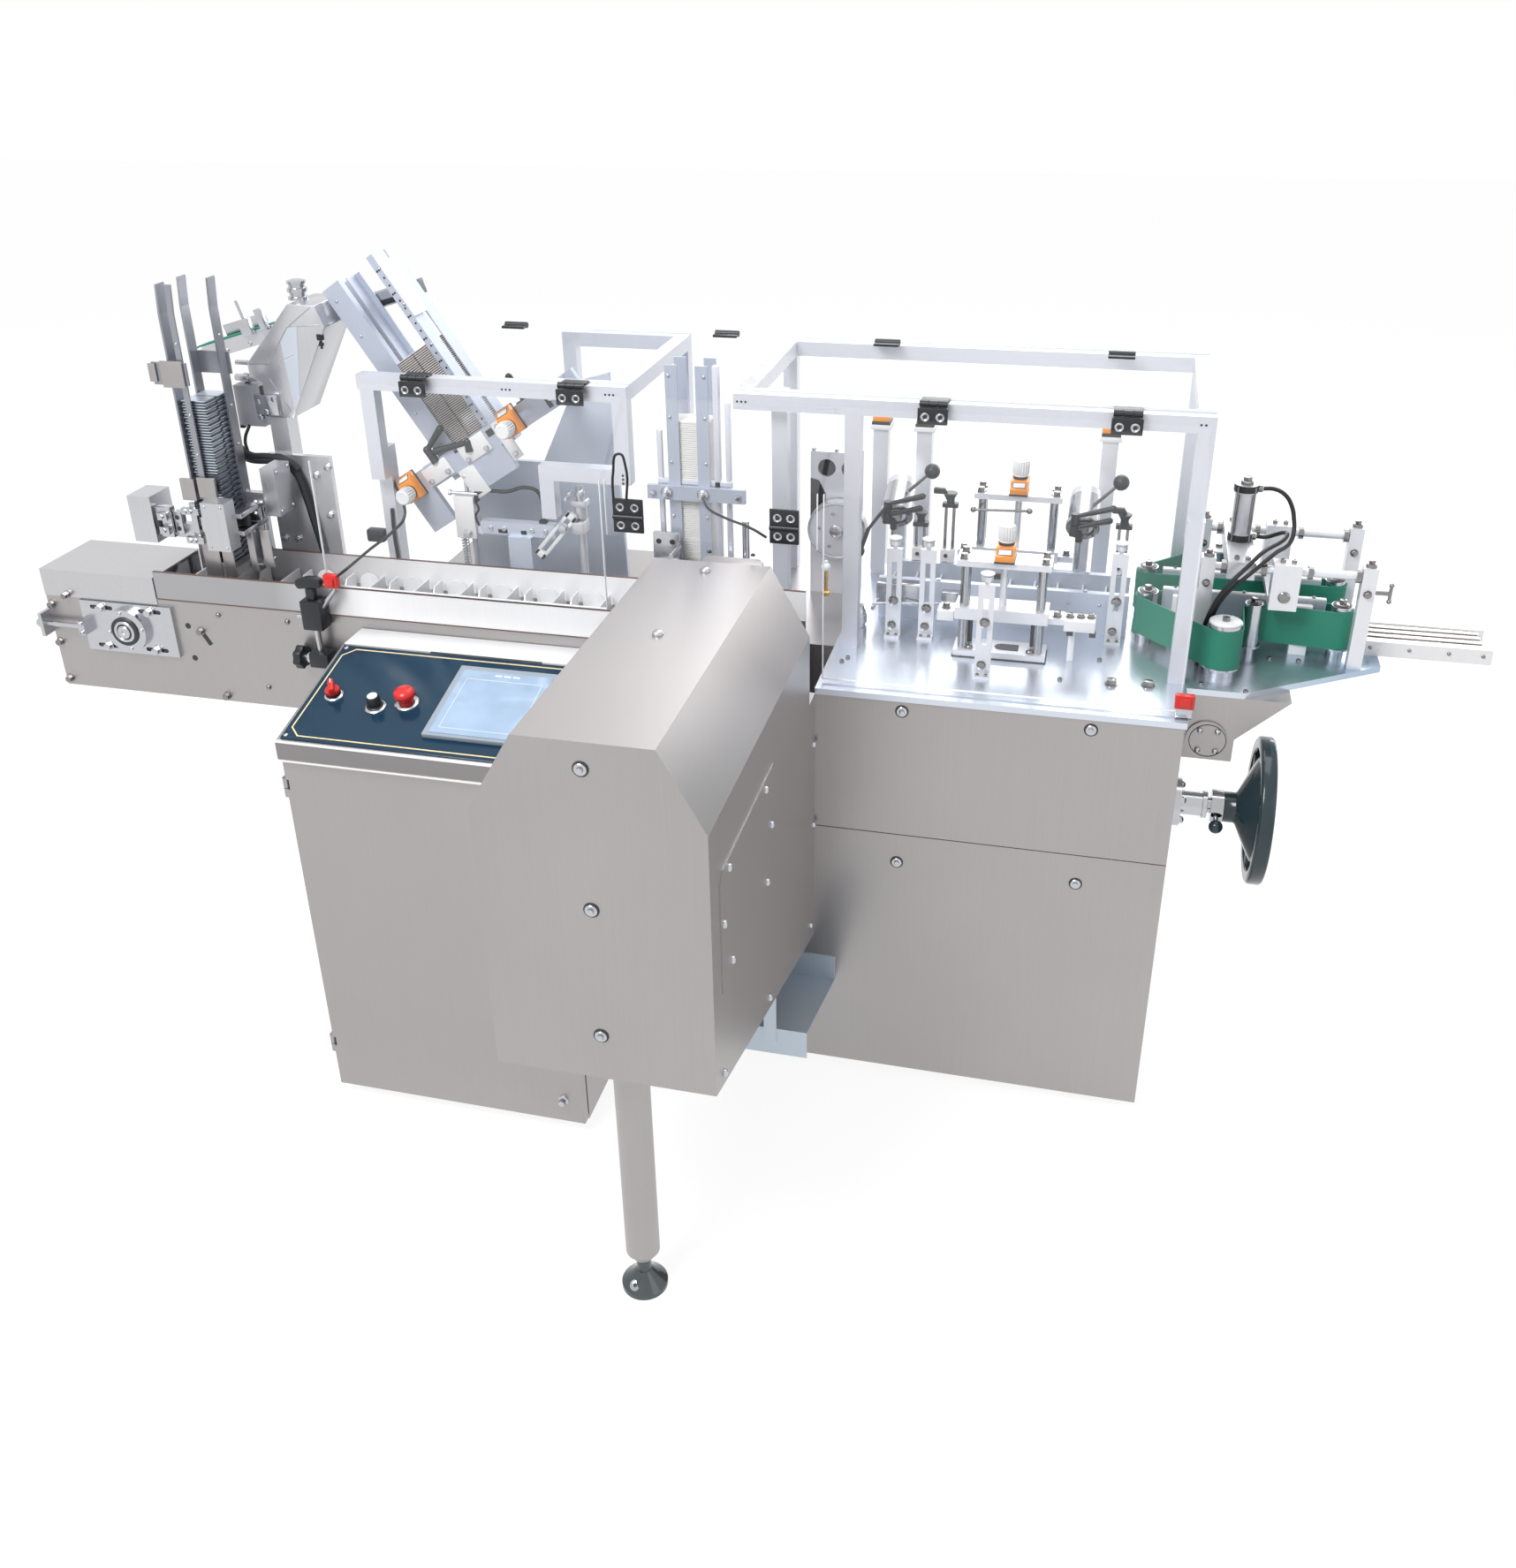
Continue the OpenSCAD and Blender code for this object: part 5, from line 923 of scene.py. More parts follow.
def pickUnit():
    Piece("plunger_box", "pale_sheet").bricks(pick["box"]).done()
    dx, dz = pick["armReach"]
    length = math.hypot(dx, dz)
    along = at(*pick["arm"], turned("Y", -math.degrees(math.atan2(dz, dx))))
    arm = Piece("slotted_arm", "pale_sheet")
    arm.bricks([(0, -6, -12, length, 6, -5, 1.0), (0, -6, 5, length, 6, 12, 1.0), (0, -6, -12, 14, 6, 12, 1.0),
                (length - 14, -6, -12, length, 6, 12, 1.0)], along).done()
    bright = Piece("pick_fittings", "satin_steel").bricks(pick["clamps"])
    for wide, tall, *spot in pick["rods"]:
        bright.add(rod(wide, tall), at(*spot))
    bright.add(rod(7, 58), at(-812, 236, 1145, faceRight)).add(hexHead(10, 6), at(-812, 236, 1145, faceLeft))
    bright.add(hexHead(14, 8, 20), at(-780, 228, 1062, faceFront))
    bright.add(hexHead(15, 9, 22), at(-557, 200, 1100, faceFront)).add(coil(15, 2.4, 16, 100), at(-796, 244, 948))
    bright.spread(pick["pins"], faceFront, rod, 7, 18).spread(pick["screws"], faceFront, socketHead, 9, 5).done()
    dark = Piece("pick_black_parts", "black_rubber").bricks(pick["plugs"])
    dark.add(tube(pick["loop"], 8)).add(tube(pick["thinLead"], 5)).done()
    Piece("guard_post_lead", "black_rubber").add(tube(pick["postLead"], 7)).done()


# Position indicators on their spindles and columns

indicator = {"wide": 36, "profile": [(-20, 3), (36, 3), (36, 14), (22, 28), (-20, 28)], "grip": 34,
             "columns": (20, 112, 491), "columnY": 596}
spindles = [at(320, 220, 1097, turned("Z", 180)), at(320, 508, 1132, turned("Z", 180)),
            onStack(-164, -60, 26), onStack(112.5, -60, 26)]
alongX = Matrix(((0, 0, 1, 0), (1, 0, 0, 0), (0, 1, 0, 0), (0, 0, 0, 1)))  # outline in YZ, drawn out along X


def squareAbout(x, y, reach, z0, z1, soft):  # square block about an upright axis
    return brick(x - reach, y - reach, z0, x + reach, y + reach, z1, soft)


def indicators():
    shells = Piece("indicator_shells", "orange_plastic")
    gaskets = Piece("indicator_gaskets", "dark_plastic")
    grips = Piece("indicator_grips", "white_plastic")
    windows = Piece("indicator_windows", "white_plastic")
    slant = moved(0, 29, 21) @ turned("X", -45)
    half = indicator["wide"] / 2
    for place in spindles:
        shells.add(plate(indicator["profile"], indicator["wide"], 2.2), place @ moved(-half, 0, 0) @ alongX)
        gaskets.add(brick(-half - 1, -21, 0, half + 1, 37, 3.2, 0.8), place)
        gaskets.add(brick(-13.5, -6.5, -0.4, 13.5, 6.5, 0.5, 0.4), place @ slant)
        gaskets.add(lathe([(0, 27), (15, 27), (15, 33), (12, 35), (0, 35)], 28), place)
        windows.add(brick(-12, -5, -0.2, 12, 5, 1.0, 0.4), place @ slant)
        grips.add(starGrip(indicator["grip"], 28, 20), place @ moved(0, 0, 36))
        grips.add(disc(15.5, 3, 28), place @ moved(0, 0, 34))
        grips.add(lathe([(0, 60), (14.5, 60), (14.5, 64.5), (13, 65.5), (11, 65.5), (10.5, 65), (0, 65)], 32), place)
    for x in indicator["columns"]:
        y = indicator["columnY"]
        shells.add(squareAbout(x, y, 18, 1240, 1252, 2.5)).add(squareAbout(x, y, 13, 1250, 1255, 1.5))
        gaskets.add(squareAbout(x, y, 19.5, 1234, 1240, 0.8))
        grips.add(squareAbout(x, y, 22, 1224, 1234, 1.2))
    shells.done("position_indicators")
    allDone(gaskets, windows)
    grips.done("indicator_knobs")


# Leaflet magazine in the centre

centre = {"stack": (1010.0, 1318), "layer": 4.2,
          "bars": [(-250, 236, 1006, -238, 250, 1430, 1.0), (-228, 240, 1006, -218, 252, 1360, 1.0),
                   (-366, 240, 1040, -356, 250, 1300, 1.0), (-366, 236, 1190, -216, 248, 1204, 1.0),
                   (-252, 234, 1006, -214, 254, 1014, 1.0), (-368, 238, 1034, -340, 252, 1042, 1.0)],
          "blocks": [(-372, 206, 1048, -318, 218, 1102, 1.2), (-330, 204, 1010, -286, 230, 1040, 1.5),
                     (-232, 190, 1006, -196, 226, 1052, 1.5)],
          "slots": [(-318, 203, 1018, -300, 204.4, 1034), (-222, 189, 1016, -206, 190.4, 1042)]}


def leafletMagazine():
    paper = Piece("leaflet_sheets", "leaflet_paper")
    z, top = centre["stack"]
    while z < top:
        out = abs(dice.uniform(-1.0, 1.0))
        paper.add(brick(-341 + out, 237.5 + out, z, -259, 294.5, z + 3.4))
        z += centre["layer"]
    paper.done("leaflet_stack")
    bolts = Piece("leaflet_bolts", "machined_steel")
    bolts.spread([(-344, 222, 1181), (-270, 222, 1181)], faceFront, domeHead, 24, 9)
    bolts.spread([(-344, 216, 1181), (-270, 216, 1181)], faceFront, rod, 9, 14)
    bolts.spread([(-372, 222, 1180), (-200, 222, 1180)], faceFront, hexHead, 11, 6)
    bolts.spread([(x, 232, z) for x in (-335, -265) for z in (1060, 1130, 1240, 1330, 1410)], faceFront, domeHead, 7, 3)
    bolts.done()
    Piece("leaflet_pale_bars", "pale_aluminium").bricks(centre["bars"]).done()
    block = Piece("centre_blocks", "machined_steel").bricks(centre["blocks"])
    block.add(rod(14, 120), at(-190, 240, 1006)).add(rod(10, 60), at(-318, 208, 1076, faceFront)).done()
    holes = Piece("centre_block_holes", "dark_steel").bricks(centre["slots"])
    holes.spread([(-360, 206, 1084), (-332, 206, 1084)], faceFront, disc, 5.5, 0.5, 18).done()


cartonStack()
magazineFittings()
pickUnit()
indicators()
leafletMagazine()
print("magazines dressed")


# Posts, presses and drives on the deck

deck = {"top": 898, "hexBolts": [(601, 135), (535, 128)],
        "screws": [(825, 303), (878, 303), (696, 162), (774, 146), (510, 228), (441, 127), (36, 139), (28, 120)],
        "posts": [(104, 259, 975), (169, 264, 961), (297, 110, 1009), (531, 315, 985)],
        "rearPosts": [(185, 1130), (533, 1108), (126, 1085)]}
press = {"x": (232, 408), "deep": 60, "foot": 912, "front": (190, 1097, 976.5), "back": (478, 1132, 991.2)}
drive = {"x": (76, 453), "balls": ((145, 470, 1175), (519, 470, 1175)), "roots": ((97, 480, 1127), (468, 480, 1119)),
         "levers": [((-16, 1110), (56, 1133)), ((-17, 1086), (51, 1107))]}


def deckPosts():
    bright = Piece("deck_bolts", "bolt_steel")
    bright.spread([(x, y, deck["top"]) for x, y in deck["hexBolts"]], Matrix(), hexHead, 17, 9, 26)
    bright.spread([(x, y, deck["top"]) for x, y in deck["screws"]], Matrix(), socketHead, 9, 4)
    caps = Piece("post_caps", "white_plastic")
    dark = Piece("rear_post_heads", "dark_steel")
    for x, y, z in deck["posts"]:
        bright.add(hexHead(14, 8, 20), at(x, y, z, faceFront)).add(hexHead(13, 7, 18), at(x - 2, y, 922, faceFront))
        bright.spread([(x - 8, y - 8, 904), (x + 8, y - 8, 904)], Matrix(), socketHead, 7, 3)
        caps.add(lathe([(0, 0), (9, 0), (13, 3), (13.5, 5), (12.4, 5.6), (9, 3.6), (0, 2.6)], 28), at(x, y + 4, 1101))
    for x, top in deck["rearPosts"]:
        bright.bricks([(x + side, 466, 985, x + side + 6, 474, top - 24, 0.8) for side in (-11, 5)])
        caps.add(brick(x - 15, 456, 985, x + 13, 476, 1012, 1.0))
        dark.add(brick(x - 16, 462, top - 28, x + 16, 478, top - 19, 1.0))
        dark.add(lathe([(0, 0), (8, 0), (8, 10), (13, 19), (14, 21), (12, 22), (0, 20)], 26), at(x, 470, top - 19))
        dark.add(socketHead(8, 3), at(x - 4, 456, 1000, faceFront))
    allDone(bright, caps, dark)


def pressFittings():
    bright = Piece("press_bolts", "bolt_steel")
    wing = Piece("press_wings", "pale_sheet")
    chrome = Piece("press_columns", "rod_chrome")
    edge = Piece("press_seats", "dark_steel")
    x0, x1 = press["x"]
    deep, foot = press["deep"], press["foot"]
    for y, top, mid in (press["front"], press["back"]):
        corners = [(x, y + v, top) for x in (x0 + 12, x1 - 12) for v in (12, deep - 12)]
        bright.spread(corners, Matrix(), hexHead, 13, 9, 18)
        bright.spread([(x, y + 24, mid + 12) for x in (x0 - 18, x1 + 16)], Matrix(), hexHead, 13, 9, 19)
        bright.spread([(x, y + 14, foot) for x in (x0 + 30, x1 - 30)], Matrix(), domeHead, 15, 7)
        columns = [(x, y + v) for x in (x0 + 16, x1 - 16) for v in (16, deep - 16)]
        chrome.spread([(*spot, foot) for spot in columns], Matrix(), rod, 17, mid - foot)
        chrome.spread([(*spot, mid + 24) for spot in columns], Matrix(), rod, 17, top - 24 - mid)
        edge.add(brick(x0 - 2, y - 2, deck["top"], x1 + 2, y + deep + 2, deck["top"] + 2, 0.4))
        edge.add(plate(archPlate(28, 46), 0.6), at(x1 - 52, y + 30, foot, turned("Z", 90)))
        edge.spread([(x, y + 46, foot) for x in (x0 + 28, x1 - 28)], Matrix(), rod, 9, mid - foot)
    y, top, mid = press["front"]
    wing.bricks([(x1 + 30, y + 6, mid - 10, x1 + 88, y + 46, mid + 12, 1.0),
                 (x0 - 34, y + 6, mid - 8, x0 - 2, y + 42, mid + 12, 1.0),
                 (x1 + 40, y + 22, deck["top"], x1 + 52, y + 34, mid - 10, 0.8)])
    for out in (40, 60, 79):
        bright.add(hexHead(11, 7, 16), at(x1 + out, y + 20 + out / 8, mid + 12))
    edge.bricks([(x1 + out - 6, y + 8, mid - 20, x1 + out + 6, y + 20, mid - 10, 1.0) for out in (42, 84)])
    edge.add(brick(-1, 0, 0, 40, 8, 12, 1.0), at(x1 - 128, y + 72, 1034))
    left, right = (232, 468, 1100), (345, 468, 1104)
    bright.add(bar(left, right, 5)).add(ball(left, 12)).add(ball(right, 12))
    allDone(bright, wing, chrome, edge)


def driveFittings():
    bright = Piece("drive_rims", "bolt_steel")
    sleeves = Piece("drive_sleeves", "machined_steel")
    dark = Piece("drive_levers", "dark_plastic")
    for x, knob, root in zip(drive["x"], drive["balls"], drive["roots"]):
        face = at(x, 500, 1104, turned("X", 30), moved(0, -48, 0), faceFront)
        bright.add(lathe([(20, 0), (33, 0), (33, 2.5), (31, 4), (22, 4), (20, 2)], 40), face)
        bright.add(lathe([(0, 0), (12, 0), (12, 6), (9, 9), (0, 9)], 28), face)
        for spot in around(6, 20, 27):
            dark.add(disc(2.6, 0.8, 12), face @ moved(*spot, 4))
        sleeves.add(lathe([(30.2, 8), (31.5, 9), (31.5, 70), (30.2, 71)], 40), face @ moved(0, 0, -80))
        bright.add(bar(root, knob, 8, 6))
        dark.add(ball(knob, 32))
        for (hx, hz), (tx, tz) in drive["levers"]:  # hub and tip of each clamp lever
            hx, tip = x + hx, (x + tx, 434, tz)
            dark.add(bar((hx, 438, hz - 16), (hx, 438, hz + 6), 18, 16)).add(ball(tip, 13))
            dark.add(bar((hx, 438, hz), tip, 8, 13)).add(bar((hx, 438, hz - 8), (hx, 462, hz - 8), 8))
        dark.add(bar((x - 6, 462, 1050), (x - 6, 456, 1078), 15))
        sleeves.add(bar((x - 6, 464, 985), (x - 6, 462, 1050), 11))
    dark.bricks([(150, 462, 1130, 174, 474, 1142, 2.5), (507, 462, 1112, 532, 474, 1124, 2.5)])
    dark.add(bar((172, 468, 1136), (186, 468, 1106), 9, 7)).add(bar((530, 468, 1118), (540, 468, 1086), 9, 7))
    allDone(sleeves, bright, dark)


conveyor = {"screws": [(x, y, 984) for x in (80, 180, 280, 380, 470, 540) for y in (357, 457)],
            "domes": [(x, 350, 960) for x in (90, 150, 215, 440, 500)],
            "roller": [(0, 0), (15, 0), (15, 14), (12, 15), (12, 22), (15, 23), (15, 40), (13, 42), (13, 48), (10, 52),
                       (10, 60), (0, 60)],
            "blocks": [(60, 320, 940, 150, 332, 984, 1.0), (190, 330, 930, 226, 350, 970, 1.0)],
            "pockets": 5, "pocketStep": 96, "oiler": (-40, 300)}


def conveyorFittings():
    bright = Piece("conveyor_screws", "machined_steel").spread(conveyor["screws"], Matrix(), socketHead, 9, 4)
    bright.spread(conveyor["domes"], faceFront, domeHead, 7, 3).add(lathe(conveyor["roller"], 30), at(36, 262, 898))
    bright.bricks(conveyor["blocks"]).add(bar((56, 300, 936), (56, 348, 936), 8))
    bright.add(bar((58, 288, 952), (200, 330, 946), 6)).done()
    bins = Piece("conveyor_pockets", "pale_sheet").add(brick(60, 366, 904, 556, 449, 912, 0.8))
    for k in range(conveyor["pockets"]):
        x = 78 + k * conveyor["pocketStep"]
        bins.bricks([(x + side, 366, 912, x + side + 4, 449, 962, 0.6) for side in (0, 46)])
    bins.done()
    x, y = conveyor["oiler"]
    brass = Piece("oiler_rod", "brass").add(rod(9, 51), at(x, y, 961))
    brass.add(lathe([(0, 0), (9, 0), (9, 7), (6, 9), (0, 9)], 24), at(x, y, 958)).done()
    cap = Piece("oiler_ball", "white_plastic").add(ball((x, y, 1018), 19))
    cap.add(lathe([(0, 0), (3, 0), (4, 6), (0, 8)], 14), at(x, y, 1025)).done()


def tapeFittings():
    hub = Piece("tape_hub", "machined_steel")
    face = at(-48, 450, 1040, faceFront)
    hub.add(lathe([(0, 0), (10, 0), (14, 3), (14, 7), (11, 9), (0, 9)], 30), face)
    hub.add(lathe([(57, 0), (61.5, 0), (61.5, 2), (59, 3), (57, 2)], 56), face)
    for spot in around(5, 30, 38):
        hub.add(socketHead(8, 3), face @ moved(*spot, 0))
    hub.spread([(x, 485, 1200) for x in (-104, -56, -4)], Matrix(), socketHead, 9, 6).done()
    dark = Piece("tape_holes", "dark_steel")
    dark.spread([(-76, 489, 1165), (-26, 489, 1165)], faceFront, disc, 18.6, 3, 36)
    dark.add(plate([(-110, 1040), (-86, 1040), (-78, 1070), (-78, 1110), (-92, 1138), (-110, 1142)], 1.2),
             at(0, 480, 0, faceFront))
    dark.add(bar((8, 420, 1010), (24, 420, 1060), 9)).add(bar((24, 420, 1060), (60, 430, 1110), 7))
    dark.add(disc(11, 8, 24), at(6, 424, 1010, faceFront)).done()


deckPosts()
pressFittings()
driveFittings()
conveyorFittings()
tapeFittings()
print("deck units dressed")


# Discharge belts, hold-down and chute

discharge = {"rollers": [(589, 342, 40), (729, 215, 62), (785, 319, 34), (945, 342, 40)], "top": 1004, "mirror": 815,
             "posts": [(690, 300), (690, 515), (975, 300), (975, 515)], "chute": (376, 398, 420, 442)}
cylinder = {"x": 749, "y": 407.5, "low": 1097, "high": 1195, "tie": 22}


def beltFittings():
    bright = Piece("roller_bolts", "bolt_steel")
    rings = Piece("roller_rings", "dark_steel")
    white = Piece("belt_guide_strips", "white_plastic")
    for x, front, wide in discharge["rollers"]:
        for y in (front, discharge["mirror"] - front):
            place = at(x, y, discharge["top"])
            r = wide / 2 - 3
            if wide > 60:
                white.add(lathe([(0, 0), (r + 1, 0), (r + 1, 2.4), (r, 3), (0, 3)], 40), place)
            else:
                rings.add(lathe([(r - 5, 0), (r, 0), (r, 1.2), (r - 5, 1.2)], 32), place)
                bright.add(lathe([(0, 0), (r - 5, 0), (r - 5, 2), (r - 7, 3), (0, 3)], 28), place)
            bright.add(hexHead(13, 8), at(x, y, discharge["top"] + 3))
    for y in (349.7, 453.3):
        white.add(brick(617, y, 1004, 917, y + 12, 1008, 0.8))
        bright.spread([(x, y + 6, 1008) for x in (640, 700, 767, 834, 894)], Matrix(), socketHead, 7, 3)
    white.bricks([(x - 16, y, 898, x + 16, y + 14, 1000, 1.0) for x in (652, 876) for y in (330, 471)])
    allDone(bright, rings, white)


def holdDownFittings():
    bright = Piece("hold_down_bolts", "bolt_steel")
    dark = Piece("hold_down_clamps", "dark_plastic")
    strips = Piece("chute_strips", "bright_sheet")
    lines = Piece("chute_lines", "edge_trim")
    for x, y in discharge["posts"]:
        bright.add(lathe([(0, 0), (10, 0), (10, 4), (8, 6), (0, 6)], 26), at(x, y, 1100))
        bright.add(hexHead(11, 7), at(x, y, 1106)).add(hexHead(11, 6, 16), at(x, y - 13, 1050, faceFront))
    for y in (300, 515):
        bright.spread([(x, y, 1080) for x in (714, 786, 868, 952)], faceRight, lathe,
                      [(8.3, 0), (13, 0), (13, 9), (8.3, 9)], 28)
        bright.spread([(x, y, 1097) for x in (740, 760, 822, 842)], Matrix(), socketHead, 10, 6)
    bright.add(lathe([(0, 0), (11, 0), (11, 2), (9.5, 3), (8, 2.2), (0, 2.2)], 30), at(831, 282, 1034, faceFront))
    low, high = (1016, 300, 1034), (1016, 300, 1066)
    bright.add(rod(9, 30), at(988, 300, 1050, faceRight)).add(bar(low, high, 6)).add(ball(low, 9)).add(ball(high, 9))
    strips.bricks([(1000, y - 5, 917, 1214, y + 5, 926, 1.5) for y in discharge["chute"]])
    lines.bricks([(1002, y - 5.6, 922, 1212, y - 4.8, 924, 0.2) for y in discharge["chute"]])
    x, y = cylinder["x"], cylinder["y"]
    for z in (cylinder["low"], cylinder["high"]):
        dark.add(lathe([(21, 0), (23, 0.6), (23, 13.4), (21, 14)], 36), at(x, y, z))
    bright.add(lathe([(0, 0), (12, 0), (12, 5), (9, 7), (0, 7)], 26), at(x, y, cylinder["high"] + 14))
    bright.add(hexHead(15, 9), at(x, y, cylinder["high"] + 19))
    for dx, dy in around(4, 45, cylinder["tie"]):
        bright.add(bar((x + dx, y + dy, cylinder["low"] + 2), (x + dx, y + dy, cylinder["high"] + 12), 4, steps=10))
    bright.spread([(772, y, 1105), (772, y, 1201)], faceRight, hexHead, 13, 6)
    bright.spread([(x, y, 915) for x in (1010, 1080, 1150, 1210) for y in (357, 455)], faceFront, domeHead, 7, 3)
    allDone(strips, lines, bright, dark)


handwheel = {"axis": (125, 665), "hub": 762, "rim": (814, 841), "reach": 140, "webs": 6,
             "cone": [(16, 0), (28, 0), (29, 1), (29, 21), (31, 24), (98, 56), (100, 60), (97, 63), (30, 31), (16, 31),
                      (16, 0)]}


def wheelFittings():  # dished wheel with windows between cone and rim
    y, z = handwheel["axis"]
    x = handwheel["hub"]
    r = handwheel["reach"]
    near, far = [edge - x for edge in handwheel["rim"]]
    place = at(x, y, z, faceRight)
    wheel = Piece("handwheel_dish", "wheel_gloss", "handwheel").add(lathe(handwheel["cone"], 64), place)
    wheel.add(lathe([(116, near + 3), (118, near), (r - 4, near), (r - 1, near + 2), (r, near + 5), (r, far - 4),
                     (r - 2, far - 1), (r - 5, far), (120, far), (116, far - 3), (116, near + 3)], 80), place)
    for k in range(handwheel["webs"]):
        wheel.add(brick(94, -16, 54, 119, 16, 65, 2.0), place @ turned("Z", 360 / handwheel["webs"] * k))
    wheel.done("handwheel")
    cap = Piece("handwheel_cap", "machined_steel", "handwheel").add(hexHead(17, 8), place @ moved(0, 0, 38))
    cap.add(lathe([(0, 31), (20, 31), (20, 35), (17, 38), (0, 38)], 32), place).done()
    flange = Piece("bearing_bolts", "machined_steel")
    for turn in (35, 145, 215, 325):
        a = math.radians(turn)
        flange.add(domeHead(15, 9), at(684, y + 37 * math.cos(a), z + 37 * math.sin(a), faceRight))
    flange.add(bar((750, y - 26, z - 10), (750, y - 40, z - 15), 9)).add(rod(52, 9), at(724, y, z, faceRight)).done()
    Piece("clamp_ball", "wheel_gloss").add(ball((750, y - 48, z - 18), 26)).done()


beltFittings()
holdDownFittings()
wheelFittings()
print("discharge dressed")


# Guards: hinges, edges and the door switch

guard = {"left": (-835, -510), "right": (178, 516), "back": [(-798, 605), (-319, 603), (27, 583), (496, 561)],
         "centre": [(-385, -327), (-89, -35)],
         "leads": [[(-383, 20, 1224), (-380, 20, 1285), (-367, 20, 1320), (-356, 20, 1298), (-358, 20, 1226)],
                   [(-95, 20, 1180), (-120, 24, 1192), (-180, 60, 1196), (-230, 120, 1190), (-262, 190, 1186)]],
         "dots": (-656, -648, -640, -446, -438, -430, -188, -180, -172, 640, 648), "postDots": (1206, 1214, 1222)}


def cupScrew(piece, holes, place):  # sunk screw: bright rim round a dark well
    piece.add(lathe([(4.2, 0), (8, 0), (8, 1.2), (6.6, 1.8), (4.2, 0.6)], 24), place)
    holes.add(disc(4.2, 0.4, 18), place)


def hingePieces(name, wells, body="root"):
    return (Piece(name + ("_leaves" if body != "root" else "s"), "dark_plastic", body),
            Piece(wells, "dark_steel", body), Piece(name + "_screws", "machined_steel", body))


def guardHinges():
    barrels = Piece("hinge_barrels", "dark_plastic")
    for x in guard["left"] + guard["right"]:
        barrels.bricks([(x - 25, 186, 1395, x + 25, 208, 1400, 1.2), (x - 8, 174, 1393, x + 8, 187, 1400, 1.0)])
        barrels.add(disc(6, 16, 24), at(x - 8, 173, 1397, faceRight))
        barrels.add(rod(5, 50), at(x - 25, 173, 1397, faceRight))
    for x, y in guard["back"]:
        barrels.add(brick(x - 26, y - 14, 1400, x + 26, y + 4, 1405, 1.2))
        barrels.add(rod(13, 52), at(x - 26, y + 10, 1404, faceRight))
    barrels.done("guard_hinges")
    for side in ("left", "right"):
        leaf, face, rim = hingePieces(side + "_hinge", side + "_hinge_faces", side + "_guard_door")
        for x in guard[side]:
            leaf.add(brick(x - 27, 160.5, 1362, x + 27, 167.6, 1392, 1.5))
            for out in (-17, 17):
                leaf.add(lathe([(2.7, -8), (6.4, -8), (6.4, 8), (2.7, 8)], 24), at(x + out, 173, 1397, faceRight))
                cupScrew(rim, face, at(x + out * 0.8, 160.5, 1376, faceFront))
        allDone(leaf, face, rim)


def centreGuard():
    leaf, face, rim = hingePieces("centre_hinge", "centre_hinge_wells")
    for x0, x1 in guard["centre"]:
        leaf.bricks([(x0, 18, 1170, x1, 23.8, 1198, 1.5), (x0, 18, 1202, x1, 23.8, 1235, 1.5)])
        leaf.add(rod(10, x1 - x0), at(x0, 19, 1200, faceRight))
        for x in (x0 + 15, x1 - 15):
            for z in (1184, 1219):
                cupScrew(rim, face, at(x, 18, z, faceFront))
    allDone(leaf, face, rim)
    loop = Piece("centre_lead", "black_rubber")
    for route in guard["leads"]:
        loop.add(tube(route, 5))
    loop.done()


def guardEdges():
    for name, body, x0, x1, low in (("left_edge", "left_guard_door", -1000, -410, 1009),
                                    ("right_edge", "right_guard_door", 8, 655, 905)):
        strip = Piece(name, "acrylic_edge", body).add(brick(x0, 23.6, low - 0.4, x1, 29.4, low + 1.2, 0.3))
        strip.bricks([(x, 23.6, low, x + 1.6, 29.4, 1266, 0.3) for x in (x0, x1 - 1.6)]).done()
    strip = Piece("centre_edge", "acrylic_edge")
    strip.bricks([(x, 23.6, 1161, x + 1.6, 29.4, 1266, 0.3) for x in (-402, -3.6)])
    for x0, x1 in ((-630, -405), (-196, 666)):
        strip.bricks([(x0, y, 1395.2, x1, y + 1.4, 1400.2, 0.3) for y in (210.6, 634)])
    strip.done()
    dots = Piece("rail_dots", "dark_steel")
    dots.spread([(x, 185, 1380) for x in guard["dots"]], faceFront, disc, 2.2, 0.4, 10)
    dots.spread([(-420, 185, z) for z in guard["postDots"]], faceFront, disc, 2.6, 0.4, 10).done()


def rightSwitch():
    red = Piece("right_switch", "red_plastic")
    red.bricks([(644, 8, 918, 678, 22, 945, 2.5), (650, 4, 923, 672, 9, 940, 2.0)]).done()
    foot = Piece("right_switch_bracket", "machined_steel").add(socketHead(8, 4), at(662, 30, 901))
    foot.bricks([(648, 12, 898, 676, 16, 920, 0.8), (648, 12, 898, 676, 40, 901, 0.8)]).done()


guardHinges()
centreGuard()
guardEdges()
rightSwitch()
print("guards dressed")


# Floor, light and camera

studio = {"floor": 14.0, "floorGlow": 1.12, "glowShare": 0.80, "world": 0.48}
lamps = {  # place, target, size and power
    "key_light": ((-1.8, -2.9, 4.5), (-0.3, 0, 0.8), 1.8, 180.0),
    "fill_light": ((3.6, -2.2, 2.6), (0, 0, 0.8), 2.5, 10.0),
    "top_light": ((0.0, 1.2, 4.6), (-0.2, 0, 0.8), 3.0, 55.0),
    "back_light": ((-0.2, 4.6, 3.7), (-0.2, 0, 0.9), 3.2, 125.0),
    "rim_light": ((2.0, 3.3, 1.9), (-0.35, -0.3, 1.1), 1.8, 38.0)}


def newObject(name, data):
    obj = bpy.data.objects.new(name, data)
    scene.collection.objects.link(obj)
    return obj


def rays(tree, *kinds):  # 1 where the ray is of one of these kinds
    path = tree.nodes.new("ShaderNodeLightPath")
    seen = path.outputs["Is " + kinds[0] + " Ray"]
    for kind in kinds[1:]:
        seen = combine(tree, "MAXIMUM", seen, path.outputs["Is " + kind + " Ray"])
    return seen


